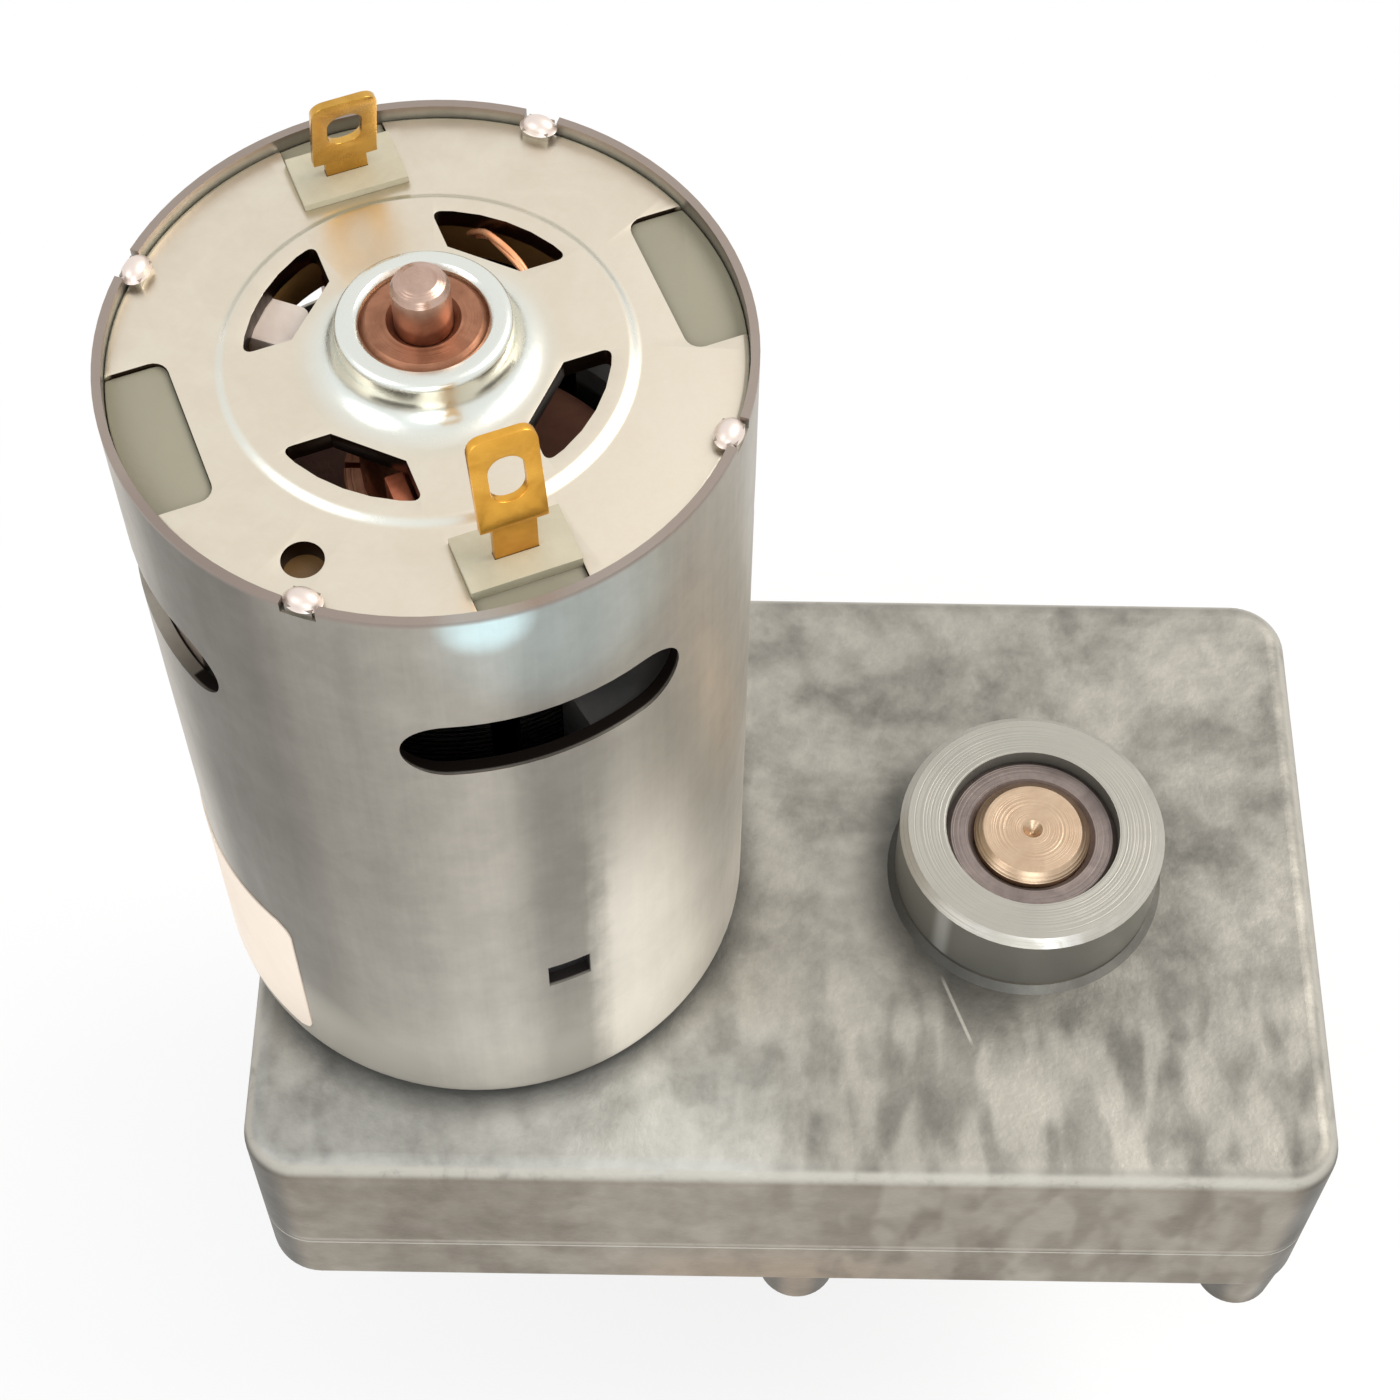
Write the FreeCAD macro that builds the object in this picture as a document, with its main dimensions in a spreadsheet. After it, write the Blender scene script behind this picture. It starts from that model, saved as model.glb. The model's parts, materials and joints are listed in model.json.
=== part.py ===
import FreeCAD, Part
import math
import os
import re
import Sketcher

# Geared dc motor: a brushed motor standing on a flat die-cast spur gearbox.
# The origin is on the output shaft's axis, in the plane of the mounting posts' ends.
# Z points up to the motor, and the motor's axis lies along -X from the output axis.

sizes = {
    # gearbox casting, whose outer size follows from the gears and the room round them
    "cover_depth": 6.5,
    "motor_margin": 15.5,
    "gear_side_room": 1.02,
    "gear_end_room": 1.84,
    "screw_room": 2.7,
    "corner_radius": 3.8,
    "edge_round": 1.5,
    "cover_round": 0.9,
    "seam_chamfer": 0.2,
    "side_wall": 2.2,
    "face_wall": 2.5,
    # mounting posts on the cover
    "post_height": 5.5,
    "post_radius": 3.25,
    "post_draft": 0.35,
    "post_spacing_long": 32.5,
    "post_offset": 0.9,
    "post_edge_inset": 3.7,
    "post_end_inset": 3.3,
    "post_thread_radius": 1.65,
    "post_thread_depth": 6.5,
    # cover screws
    "screw_radius": 1.05,
    "screw_head_radius": 2.25,
    "screw_head_height": 1.6,
    "screw_length": 11.0,
    "screw_boss_radius": 2.6,
    "screw_inset_long": 4.2,
    "screw_inset_wide": 4.0,
    "screw_middle_inset": 3.3,
    "screw_gap": 0.02,
    "screw_hole_gap": 0.2,
    "screw_tip_chamfer": 0.3,
    "thread_end_room": 0.8,
    # bosses round the output shaft
    "boss_radius": 9.15,
    "boss_height": 6.5,
    "boss_chamfer": 0.55,
    "boss_foot_chamfer": 0.5,
    "pilot_radius": 9.0,
    "pilot_height": 3.5,
    # output shaft and its bushings
    "output_radius": 4.0,
    "output_reach": 22.0,
    "output_sink": 0.25,
    "output_chamfer": 0.6,
    "centre_drill_radius": 0.7,
    "flat_depth": 1.0,
    "flat_length": 10.5,
    "running_gap": 0.03,
    "output_bushing_radius": 6.0,
    "output_bushing_sink": 1.0,
    "upper_bushing_length": 8.6,
    "lower_bushing_length": 6.3,
    "bushing_chamfer": 0.4,
    "circlip_thickness": 0.8,
    "circlip_radius": 5.6,
    "circlip_groove": 0.4,
    "washer_thickness": 0.5,
    "pin_radius": 1.25,
    "pin_inset": 0.3,
    "spacer_inset": 0.4,
    "washer_inset": 0.2,
    # gear train
    "axis_distance": 38.0,
    "first_axle_offset": 8.0,
    "first_module": 0.5,
    "second_module": 0.6,
    "third_module": 0.8,
    "motor_pinion_teeth": 12,
    "first_wheel_teeth": 48,
    "pinion_teeth": 14,
    "wheel_teeth": 40,
    "pressure_angle": 20.0,
    "profile_shift": 0.4,
    "backlash": 0.06,
    "dedendum": 1.25,
    "axle_radius": 1.5,
    "axle_seat_depth": 1.4,
    "axle_chamfer": 0.2,
    "layer_gap": 0.7,
    "collar_gap": 0.4,
    "tip_relief": 0.02,
    "first_wheel_width": 2.8,
    "second_wheel_width": 2.8,
    "output_wheel_width": 3.4,
    "motor_pinion_width": 3.9,
    "motor_pinion_overrun": 0.6,
    "shaft_overrun": 0.8,
    "wheel_floor_gap": 0.9,
    "hub_radius": 3.2,
    "output_hub_radius": 7.0,
    "output_hub_height": 3.6,
    "wheel_recess": 0.6,
    "recess_hub_room": 2.2,
    "rim_modules": 4,
    # motor can
    "can_radius": 17.9,
    "can_wall": 0.9,
    "mouth_wall": 0.5,
    "can_height": 58.0,
    "can_foot_round": 1.5,
    "front_boss_radius": 6.5,
    "front_boss_height": 4.5,
    "slot_radius": 2.5,
    "slot_half_length": 8.15,
    "slot_level": 45.5,
    "slot_angle": -67.0,
    "key_hole_width": 2.8,
    "key_hole_height": 2.5,
    "key_hole_level": 16.5,
    "motor_screw_radius": 1.25,
    "motor_screw_inset": 4.5,
    "motor_screw_head_radius": 2.75,
    "motor_screw_head_height": 1.9,
    "motor_screw_length": 4.2,
    # end plate
    "plate_thickness": 1.2,
    "plate_sink": 0.75,
    "plateau_sink": 0.4,
    "plateau_inset": 6.2,
    "plateau_slope": 0.7,
    "plate_edge_round": 0.35,
    "end_boss_radius": 4.8,
    "end_boss_rise": 2.5,
    "end_boss_flare": 1.5,
    "end_boss_lip": 0.5,
    "end_boss_root": 1.6,
    "vent_boss_room": 2.5,
    "vent_rim_room": 1.3,
    "vent_half_angle": 26.0,
    "vent_inner_half_angle": 18.0,
    "vent_corner": 0.7,
    "vent_angle": 67.5,
    "window_width": 9.8,
    "window_inset": 3.7,
    "window_recess": 0.35,
    "window_angle": 22.5,
    "tab_width": 1.5,
    "tab_thickness": 0.55,
    "tab_fold": 0.9,
    "tab_sink": 0.15,
    "tab_angle": -18.0,
    "notch_gap": 0.25,
    "gauge_hole_radius": 1.15,
    "gauge_hole_inset": 2.4,
    "gauge_hole_angle": -112.5,
    # brush carrier and terminals
    "carrier_thickness": 2.4,
    "carrier_lip": 0.6,
    "moulding_gap": 0.02,
    "pad_width": 6.1,
    "pad_inner_inset": 4.9,
    "pad_outer_inset": 0.4,
    "pad_step_inset": 1.2,
    "pad_rise": 0.45,
    "pad_ledge_drop": 0.3,
    "terminal_angle": -67.5,
    "terminal_inset": 3.0,
    "terminal_thickness": 0.5,
    "terminal_width": 3.7,
    "terminal_neck_width": 2.4,
    "front_neck_height": 2.8,
    "rear_neck_height": 1.3,
    "terminal_blade_height": 5.6,
    "terminal_lean": 11.5,
    "terminal_hole_width": 2.0,
    "terminal_hole_height": 3.0,
    "terminal_root": 2.0,
    "terminal_corner": 0.8,
    "brush_width": 3.0,
    "brush_height": 4.0,
    "brush_length": 4.4,
    "brush_drop": 1.2,
    "brush_gap": 0.05,
    "spring_thickness": 0.4,
    "spring_end_room": 2.0,
    # motor bushings, armature and magnets
    "motor_shaft_radius": 1.5875,
    "shaft_tip_rise": 3.0,
    "motor_bushing_radius": 3.5,
    "motor_bushing_length": 5.0,
    "end_bushing_sink": 0.15,
    "end_play": 0.3,
    "air_gap": 1.0,
    "core_level": 12.5,
    "core_end_room": 17.5,
    "core_slots": 5,
    "core_bridge": 1.5,
    "coil_inset": 1.2,
    "coil_round": 1.2,
    "coil_overhang": 4.5,
    "insulator_thickness": 0.6,
    "commutator_radius": 4.5,
    "commutator_length": 7.0,
    "riser_height": 1.0,
    "riser_start": 0.6,
    "commutator_slot": 0.4,
    "magnet_thickness": 3.6,
    "magnet_overlap": 4.0,
    "magnet_angle": 116.0,
    "clip_angle": 58.0,
    "clip_thickness": 1.0,
    "clip_shortfall": 4.0,
    "collar_radius": 2.9,
    # paper label on the can
    "label_thickness": 0.1,
    "label_height": 15.0,
    "label_level": 0.9,
    "label_angle": 96.0,
    "label_edge_angle": -127.0,
}

doc = FreeCAD.newDocument("GearedMotor")
sheet = doc.addObject("Spreadsheet::Sheet", "Sizes")


def gearCentres():
    # each axle stands one centre distance from its neighbours
    first = sizes["first_module"] * (sizes["motor_pinion_teeth"] + sizes["first_wheel_teeth"]) / 2
    second = sizes["second_module"] * (sizes["pinion_teeth"] + sizes["wheel_teeth"]) / 2
    third = sizes["third_module"] * (sizes["pinion_teeth"] + sizes["wheel_teeth"]) / 2
    offset = sizes["first_axle_offset"]
    firstX = -sizes["axis_distance"] + math.sqrt(first ** 2 - offset ** 2)
    firstY = -offset
    reach = math.hypot(firstX, firstY)
    along = (third ** 2 - second ** 2 + reach ** 2) / (2 * reach)
    across = math.sqrt(third ** 2 - along ** 2)
    unitX, unitY = firstX / reach, firstY / reach
    return {
        "first_axle_x": firstX,
        "first_axle_y": firstY,
        "second_axle_x": along * unitX + across * unitY,
        "second_axle_y": along * unitY - across * unitX,
    }


def wheelTip(module, teeth):
    # tip radius of a wheel whose profile is shifted inwards
    return sizes[module] * (sizes[teeth] / 2 + 1 - sizes["profile_shift"]) - sizes["tip_relief"]


def casingSizes():
    # the casting keeps its walls clear of every wheel
    sides = [
        abs(sizes["first_axle_y"]) + wheelTip("first_module", "first_wheel_teeth"),
        abs(sizes["second_axle_y"]) + wheelTip("second_module", "wheel_teeth"),
        wheelTip("third_module", "wheel_teeth"),
    ]
    width = 2 * (max(sides) + sizes["gear_side_room"] + sizes["side_wall"])
    wheelEnd = sides[2] + sizes["gear_end_room"] + sizes["side_wall"]
    postEnd = sizes["post_offset"] + sizes["post_spacing_long"] / 2 + sizes["post_end_inset"]
    margin = max(wheelEnd, postEnd)
    layers = (
        sizes["output_wheel_width"] + sizes["second_wheel_width"] + sizes["first_wheel_width"]
        + 2 * sizes["layer_gap"] + sizes["wheel_floor_gap"]
    )
    return {
        "gearbox_width": width,
        "output_margin": margin,
        "gearbox_length": margin + sizes["axis_distance"] + sizes["motor_margin"],
        "gearbox_height": layers + 2 * sizes["face_wall"] + sizes["screw_room"],
        "post_spacing_wide": width - 2 * sizes["post_edge_inset"],
    }


def motorSizes():
    # what lies on the end plate is set in from the can's inner wall
    rim = sizes["can_radius"] - sizes["can_wall"]
    mouth = sizes["can_radius"] - sizes["mouth_wall"]
    plateau = rim - sizes["plateau_inset"]
    core = rim - sizes["magnet_thickness"] - sizes["air_gap"]
    length = sizes["can_height"] - sizes["core_level"] - sizes["core_end_room"]
    return {
        "rim_radius": rim,
        "mouth_radius": mouth,
        "plateau_radius": plateau,
        "carrier_inner_radius": plateau - sizes["carrier_lip"],
        "vent_inner_radius": sizes["end_boss_radius"] + sizes["vent_boss_room"],
        "vent_outer_radius": plateau - sizes["vent_rim_room"],
        "window_inner_radius": rim - sizes["window_inset"],
        "pad_inner_radius": rim - sizes["pad_inner_inset"],
        "pad_outer_radius": rim - sizes["pad_outer_inset"],
        "pad_step_radius": rim - sizes["pad_step_inset"],
        "terminal_circle": rim - sizes["terminal_inset"],
        "gauge_hole_circle": rim - sizes["gauge_hole_inset"],
        "motor_screw_circle": rim - sizes["motor_screw_inset"],
        "core_radius": core,
        "coil_radius": core - sizes["coil_inset"],
        "core_length": length,
        "magnet_length": length + sizes["magnet_overlap"],
    }


sizes.update(gearCentres())
sizes.update(casingSizes())
sizes.update(motorSizes())
for row, (name, value) in enumerate(sizes.items(), 1):
    sheet.set("A%d" % row, name)
    sheet.set("B%d" % row, repr(value))
    sheet.setAlias("B%d" % row, name)
doc.recompute()

# levels and places that several pieces share, written in the names of the sizes
coverTop = "(post_height + cover_depth)"
topFace = "(post_height + gearbox_height)"
ceiling = "(post_height + gearbox_height - face_wall)"
floor = "(post_height + face_wall)"
canTop = "(post_height + gearbox_height + can_height)"
motorX = "-axis_distance"
farEnd = "(output_margin - gearbox_length)"
wheelLevel = "(post_height + face_wall + wheel_floor_gap)"
secondWheelLevel = "(post_height + face_wall + wheel_floor_gap + output_wheel_width + layer_gap)"
firstWheelLevel = (
    "(post_height + face_wall + wheel_floor_gap + output_wheel_width + layer_gap"
    " + second_wheel_width + layer_gap)"
)
parts = {}


def size(name):
    return float(sheet.get(name))


def link(text):
    # the sheet's own name goes before each size in an expression
    words = re.split(r"(\w+)", str(text))
    return "".join("Sizes." + word if word in sizes else word for word in words)


def bind(item, **values):
    for name, text in values.items():
        item.setExpression(name.replace("__", "."), link(text))
    return item


def place(item, x="0", y="0", z="0", turn="0"):
    return bind(
        item,
        Placement__Base__x=x,
        Placement__Base__y=y,
        Placement__Base__z=z,
        Placement__Rotation__Angle=turn,
    )


def body(name, x="0", y="0", z="0", turn="0"):
    item = doc.addObject("PartDesign::Body", name)
    item.Placement = FreeCAD.Placement(FreeCAD.Vector(), FreeCAD.Vector(0, 0, 1), 0)
    return place(item, x, y, z, turn)


def sketchOn(owner, plane, level="0"):
    item = owner.newObject("Sketcher::SketchObject", owner.Name + "Sketch")
    origin = [feature for feature in owner.Origin.OriginFeatures if feature.Role == plane]
    item.AttachmentSupport = [(origin[0], "")]
    item.MapMode = "FlatFace"
    return bind(item, AttachmentOffset__Base__z=level)


def pin(item, kind, *target):
    # one driven dimension of a sketch, drawn at its present value first
    drawn, text = target[-2:]
    index = item.addConstraint(Sketcher.Constraint(kind, *target[:-2], drawn))
    item.setExpression("Constraints[%d]" % index, link(text))


def addPolygon(item, points):
    # a closed outline whose corners are each fixed by two dimensions
    count = len(points)
    start = item.GeometryCount
    rough = [Part.Circle().value(2 * math.pi * i / count) * 9 for i in range(count)]
    for i in range(count):
        item.addGeometry(Part.LineSegment(rough[i], rough[(i + 1) % count]), False)
    for i in range(count):
        following = start + (i + 1) % count
        item.addConstraint(Sketcher.Constraint("Coincident", start + i, 2, following, 1))
    for i, (x, y) in enumerate(points):
        pin(item, "DistanceX", -1, 1, start + i, 1, rough[i].x, x)
        pin(item, "DistanceY", -1, 1, start + i, 1, rough[i].y, y)


def addCircle(item, x, y, radius):
    circle = Part.Circle(FreeCAD.Vector(1, 1, 0), FreeCAD.Vector(0, 0, 1), 1)
    index = item.addGeometry(circle, False)
    pin(item, "DistanceX", -1, 1, index, 3, 1.0, x)
    pin(item, "DistanceY", -1, 1, index, 3, 1.0, y)
    pin(item, "Radius", index, 1.0, radius)


def addSlot(item, height, reach, radius):
    # a slot with round ends: two arcs centred one reach either side, and two tangent lines
    up = FreeCAD.Vector(0, 0, 1)
    side, rise, end = level(reach), level(height), level(radius)
    left = Part.Circle(FreeCAD.Vector(-side, rise, 0), up, end)
    right = Part.Circle(FreeCAD.Vector(side, rise, 0), up, end)
    arcs = [
        item.addGeometry(Part.ArcOfCircle(left, math.pi / 2, 3 * math.pi / 2), False),
        item.addGeometry(Part.ArcOfCircle(right, -math.pi / 2, math.pi / 2), False),
    ]
    lines = []
    for edge in (rise - end, rise + end):
        start, stop = FreeCAD.Vector(-side, edge, 0), FreeCAD.Vector(side, edge, 0)
        lines.append(item.addGeometry(Part.LineSegment(start, stop), False))
    for arc, leave, line, meet in ((0, 2, 0, 1), (1, 1, 0, 2), (1, 2, 1, 2), (0, 1, 1, 1)):
        joint = Sketcher.Constraint("Tangent", arcs[arc], leave, lines[line], meet)
        item.addConstraint(joint)
    for arc, sign in zip(arcs, (-1, 1)):
        text = "%d * (%s)" % (sign, reach)
        pin(item, "DistanceX", -1, 1, arc, 3, sign * side, text)
        pin(item, "DistanceY", -1, 1, arc, 3, rise, height)
    pin(item, "Radius", arcs[0], end, radius)


def pad(owner, profile, length):
    item = owner.newObject("PartDesign::Pad", owner.Name + "Pad")
    item.Profile = profile
    bind(item, Length=length)
    doc.recompute()
    return item


def pocket(owner, profile, depth, upward=False):
    # the cut goes down from the sketch, or up if it is told so
    before = owner.Shape.Volume
    item = owner.newObject("PartDesign::Pocket", owner.Name + "Pocket")
    item.Profile = profile
    item.Reversed = upward
    bind(item, Length=depth)
    doc.recompute()
    if not owner.Shape.Volume < before:
        raise ValueError(owner.Name + ": a pocket cut nothing")
    return item


def revolve(owner, points, angle="360"):
    profile = sketchOn(owner, "XZ_Plane")
    addPolygon(profile, points)
    item = owner.newObject("PartDesign::Revolution", owner.Name + "Turned")
    item.Profile = profile
    item.ReferenceAxis = (profile, ["V_Axis"])
    bind(item, Angle=angle)
    doc.recompute()
    return item


def dress(owner, kind, amount, test):
    # a fillet or chamfer on the edges that pass the test
    base = owner.Tip
    names = ["Edge%d" % (i + 1) for i, edge in enumerate(base.Shape.Edges) if test(edge)]
    item = owner.newObject("PartDesign::" + kind, owner.Name + kind)
    item.Base = (base, names)
    bind(item, **{"Radius" if kind == "Fillet" else "Size": amount})
    doc.recompute()
    return item


def polar(owner, feature, count, angle="360"):
    item = owner.newObject("PartDesign::PolarPattern", owner.Name + "Pattern")
    item.Originals = [feature]
    axis = [part for part in owner.Origin.OriginFeatures if part.Role == "Z_Axis"]
    item.Axis = (axis[0], [""])
    bind(item, Occurrences=count, Angle=angle)
    owner.Tip = item
    doc.recompute()
    return item


def finish(name, item):
    item.Label = name
    parts[name] = item
    return item


def cylinder(name, radius, height, x="0", y="0", z="0"):
    item = doc.addObject("Part::Cylinder", name)
    bind(item, Radius=radius, Height=height)
    return place(item, x, y, z)


def combine(kind, name, base, tool):
    item = doc.addObject("Part::" + kind, name)
    item.Base = base
    item.Tool = tool
    return item


def group(name, members):
    item = doc.addObject("Part::Compound", name)
    item.Links = members
    return finish(name, item)


def ring(name, outer, inner, height, x="0", y="0", z="0"):
    outside = cylinder(name + "Outside", outer, height, x, y, z)
    inside = cylinder(name + "Inside", inner, height, x, y, z)
    return combine("Cut", name, outside, inside)


def shape(name, solid, x, y, z, turn):
    item = doc.addObject("Part::Feature", name)
    item.Shape = solid
    item.Placement = FreeCAD.Placement(
        FreeCAD.Vector(x, y, z), FreeCAD.Rotation(FreeCAD.Vector(0, 0, 1), math.degrees(turn))
    )
    return item


def isUpright(edge):
    box = edge.BoundBox
    return edge.Curve.TypeId == "Part::GeomLine" and box.XLength + box.YLength < 1e-6


def liesAt(edge, level):
    box = edge.BoundBox
    return abs(box.ZMin - level) < 1e-6 and abs(box.ZMax - level) < 1e-6


def level(text):
    # the number that a sum of sizes comes to
    total, sign = 0.0, 1.0
    for word in re.findall(r"[\w.]+|[-+]", text):
        if word in "+-":
            sign = -1.0 if word == "-" else 1.0
        else:
            total += sign * (sizes[word] if word in sizes else float(word))
            sign = 1.0
    return total


# places of the cover's screws and of the mounting posts
screwPlaces = [
    ("(%s + screw_inset_long)" % farEnd, "(gearbox_width / 2 - screw_inset_wide)"),
    ("(%s + screw_inset_long)" % farEnd, "-(gearbox_width / 2 - screw_inset_wide)"),
    ("0", "(gearbox_width / 2 - screw_middle_inset)"),
    ("0", "-(gearbox_width / 2 - screw_middle_inset)"),
]
postPlaces = [
    ("post_offset %s post_spacing_long / 2" % signX, "%spost_spacing_wide / 2" % signY)
    for signX in ("-", "+")
    for signY in ("-", "")
]
axlePlaces = [("first_axle_x", "first_axle_y"), ("second_axle_x", "second_axle_y")]


def boxOutline(owner, height, inset="0"):
    profile = sketchOn(owner, "XY_Plane", height)
    left, right = "%s + %s" % (farEnd, inset), "output_margin - %s" % inset
    front, back = "-gearbox_width / 2 + %s" % inset, "gearbox_width / 2 - %s" % inset
    addPolygon(profile, [(left, front), (right, front), (right, back), (left, back)])
    return profile


def roundCorners(owner, amount, inset):
    # the four upright corner edges of the casting or of its cavity
    half = sizes["gearbox_width"] / 2 - inset

    def isCorner(edge):
        return isUpright(edge) and abs(abs(edge.BoundBox.YMin) - half) < 1e-6

    dress(owner, "Fillet", amount, isCorner)


def makeHousing():
    housing = body("gearbox_housing")
    depth = "gearbox_height - cover_depth"
    pad(housing, boxOutline(housing, coverTop), depth)
    roundCorners(housing, "corner_radius", 0)
    top = level(topFace.strip("()"))
    dress(housing, "Fillet", "edge_round", lambda edge: liesAt(edge, top))
    pocket(housing, boxOutline(housing, coverTop, "side_wall"), depth + " - face_wall", True)
    roundCorners(housing, "corner_radius - side_wall", sizes["side_wall"])
    # inside bosses for the screws and axles, and the outer boss round the output shaft
    bosses = sketchOn(housing, "XY_Plane", coverTop)
    for x, y in screwPlaces:
        addCircle(bosses, x, y, "screw_boss_radius")
    pad(housing, bosses, depth + " - face_wall / 2")
    collars = sketchOn(housing, "XY_Plane", firstWheelLevel + " + first_wheel_width + collar_gap")
    addCircle(collars, *axlePlaces[0], "collar_radius")
    pad(housing, collars, "%s - %s - first_wheel_width" % (ceiling, firstWheelLevel))
    collars = sketchOn(housing, "XY_Plane", secondWheelLevel + " + second_wheel_width + collar_gap")
    addCircle(collars, *axlePlaces[1], "collar_radius")
    pad(housing, collars, "%s - %s - second_wheel_width" % (ceiling, secondWheelLevel))
    boss = sketchOn(housing, "XY_Plane", topFace)
    addCircle(boss, "0", "0", "boss_radius")
    pad(housing, boss, "boss_height")
    bossTop = top + sizes["boss_height"]
    dress(housing, "Chamfer", "boss_chamfer", lambda edge: liesAt(edge, bossTop))

    def isBossFoot(edge):
        outer = abs(edge.BoundBox.XLength - 2 * sizes["boss_radius"]) < 1e-4
        return outer and liesAt(edge, top)

    dress(housing, "Chamfer", "boss_foot_chamfer", isBossFoot)
    # bores for the output bushing, the motor's front boss and its two screws
    bores = sketchOn(housing, "XY_Plane", "%s + boss_height" % topFace)
    addCircle(bores, "0", "0", "output_bushing_radius")
    pocket(housing, bores, "boss_height + face_wall")
    bores = sketchOn(housing, "XY_Plane", topFace)
    addCircle(bores, motorX, "0", "front_boss_radius + running_gap")
    for side in ("", "-"):
        addCircle(bores, motorX, side + "motor_screw_circle",
                  "motor_screw_radius + screw_hole_gap")
    pocket(housing, bores, "face_wall")
    holes = sketchOn(housing, "XY_Plane", coverTop)
    for x, y in screwPlaces:
        addCircle(holes, x, y, "screw_radius + screw_gap")
    pocket(housing, holes, "screw_length - cover_depth + thread_end_room", True)
    for (x, y), bottom in zip(axlePlaces, (firstWheelLevel, secondWheelLevel)):
        seats = sketchOn(housing, "XY_Plane", bottom)
        addCircle(seats, x, y, "axle_radius")
        pocket(housing, seats, "%s + axle_seat_depth - %s" % (ceiling, bottom), True)
    finish("gearbox_housing", housing)


def makeCover():
    cover = body("gearbox_cover")
    pad(cover, boxOutline(cover, "post_height"), "cover_depth")
    roundCorners(cover, "corner_radius", 0)
    bottom = sizes["post_height"]
    dress(cover, "Fillet", "cover_round", lambda edge: liesAt(edge, bottom))
    seam = level(coverTop.strip("()"))
    dress(cover, "Chamfer", "seam_chamfer", lambda edge: liesAt(edge, seam))
    pocket(cover, boxOutline(cover, coverTop, "side_wall"), "cover_depth - face_wall")
    roundCorners(cover, "corner_radius - side_wall", sizes["side_wall"])
    root = "face_wall / 2"
    bosses = sketchOn(cover, "XY_Plane", "%s - %s" % (floor, root))
    for x, y in screwPlaces:
        addCircle(bosses, x, y, "screw_boss_radius")
    pad(cover, bosses, "cover_depth - face_wall + %s" % root)
    collars = sketchOn(cover, "XY_Plane", "%s - %s" % (floor, root))
    addCircle(collars, *axlePlaces[0], "collar_radius")
    height = "%s - %s + %s - washer_thickness - 2 * running_gap"
    pad(cover, collars, height % (secondWheelLevel, floor, root))
    # mounting posts, slightly tapered, which run into the rounded edge of the cover
    posts = sketchOn(cover, "XY_Plane", "post_height + cover_round")
    for x, y in postPlaces:
        addCircle(posts, x, y, "post_radius")
    item = pad(cover, posts, "post_height + cover_round")
    item.Reversed = True
    item.TaperAngle = -math.degrees(math.atan(sizes["post_draft"] / sizes["post_height"]))
    # the pilot round the output shaft
    pilot = sketchOn(cover, "XY_Plane", "post_height - pilot_height")
    addCircle(pilot, "0", "0", "pilot_radius")
    pad(cover, pilot, "pilot_height")
    pilotEnd = bottom - sizes["pilot_height"]
    dress(cover, "Chamfer", "boss_chamfer", lambda edge: liesAt(edge, pilotEnd))
    bore = sketchOn(cover, "XY_Plane", coverTop)
    addCircle(bore, "0", "0", "output_bushing_radius")
    pocket(cover, bore, "cover_depth + pilot_height")
    threads = sketchOn(cover, "XY_Plane")
    for x, y in postPlaces:
        addCircle(threads, x, y, "post_thread_radius")
    pocket(cover, threads, "post_thread_depth", True)
    holes = sketchOn(cover, "XY_Plane", coverTop)
    for x, y in screwPlaces:
        addCircle(holes, x, y, "screw_radius + screw_hole_gap")
    pocket(cover, holes, "cover_depth")
    for x, y in axlePlaces:
        seats = sketchOn(cover, "XY_Plane", "%s + cover_depth" % floor)
        addCircle(seats, x, y, "axle_radius")
        pocket(cover, seats, "cover_depth + axle_seat_depth")
    finish("gearbox_cover", cover)


def makeScrew(name, radius, length, headRadius, headHeight, x, y, z):
    # a pan-head screw with its head below and its shank pointing up
    screw = body(name, x, y, z)
    revolve(screw, [
        ("0", "0"),
        ("%s * 0.8" % headRadius, "0"),
        (headRadius, "%s * 0.35" % headHeight),
        (headRadius, headHeight),
        (radius, headHeight),
        (radius, "%s + %s - screw_tip_chamfer" % (headHeight, length)),
        ("%s - screw_tip_chamfer" % radius, "%s + %s" % (headHeight, length)),
        ("0", "%s + %s" % (headHeight, length)),
    ])
    return screw


def makeScrews():
    start = "post_height - screw_head_height"
    group("cover_screws", [
        makeScrew("coverScrew%d" % i, "screw_radius", "screw_length", "screw_head_radius",
                  "screw_head_height", x, y, start)
        for i, (x, y) in enumerate(screwPlaces)
    ])
    start = "%s - motor_screw_head_height" % ceiling
    group("motor_screws", [
        makeScrew("motorScrew%d" % i, "motor_screw_radius", "motor_screw_length",
                  "motor_screw_head_radius", "motor_screw_head_height",
                  motorX, side + "motor_screw_circle", start)
        for i, side in enumerate(("", "-"))
    ])


def makeBushing(name, radius, bore, length, z, x="0"):
    bushing = body(name, x, "0", z)
    edge = "bushing_chamfer"
    revolve(bushing, [
        ("%s + %s" % (bore, edge), "0"),
        ("%s - %s" % (radius, edge), "0"),
        (radius, edge),
        (radius, "%s - %s" % (length, edge)),
        ("%s - %s" % (radius, edge), length),
        ("%s + %s" % (bore, edge), length),
        (bore, "%s - %s" % (length, edge)),
        (bore, edge),
    ])
    finish(name, bushing)


def makeBushings():
    bore = "output_radius + running_gap"
    makeBushing("upper_output_bushing", "output_bushing_radius", bore, "upper_bushing_length",
                "%s + boss_height - output_bushing_sink - upper_bushing_length" % topFace)
    makeBushing("lower_output_bushing", "output_bushing_radius", bore, "lower_bushing_length",
                "post_height - pilot_height")
    bore = "motor_shaft_radius + running_gap"
    makeBushing("front_bushing", "motor_bushing_radius", bore, "motor_bushing_length",
                "%s - front_boss_height + can_wall" % topFace, motorX)
    makeBushing("end_bushing", "motor_bushing_radius", bore, "motor_bushing_length",
                "%s + end_boss_rise - end_bushing_sink - motor_bushing_length" % canTop, motorX)


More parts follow.
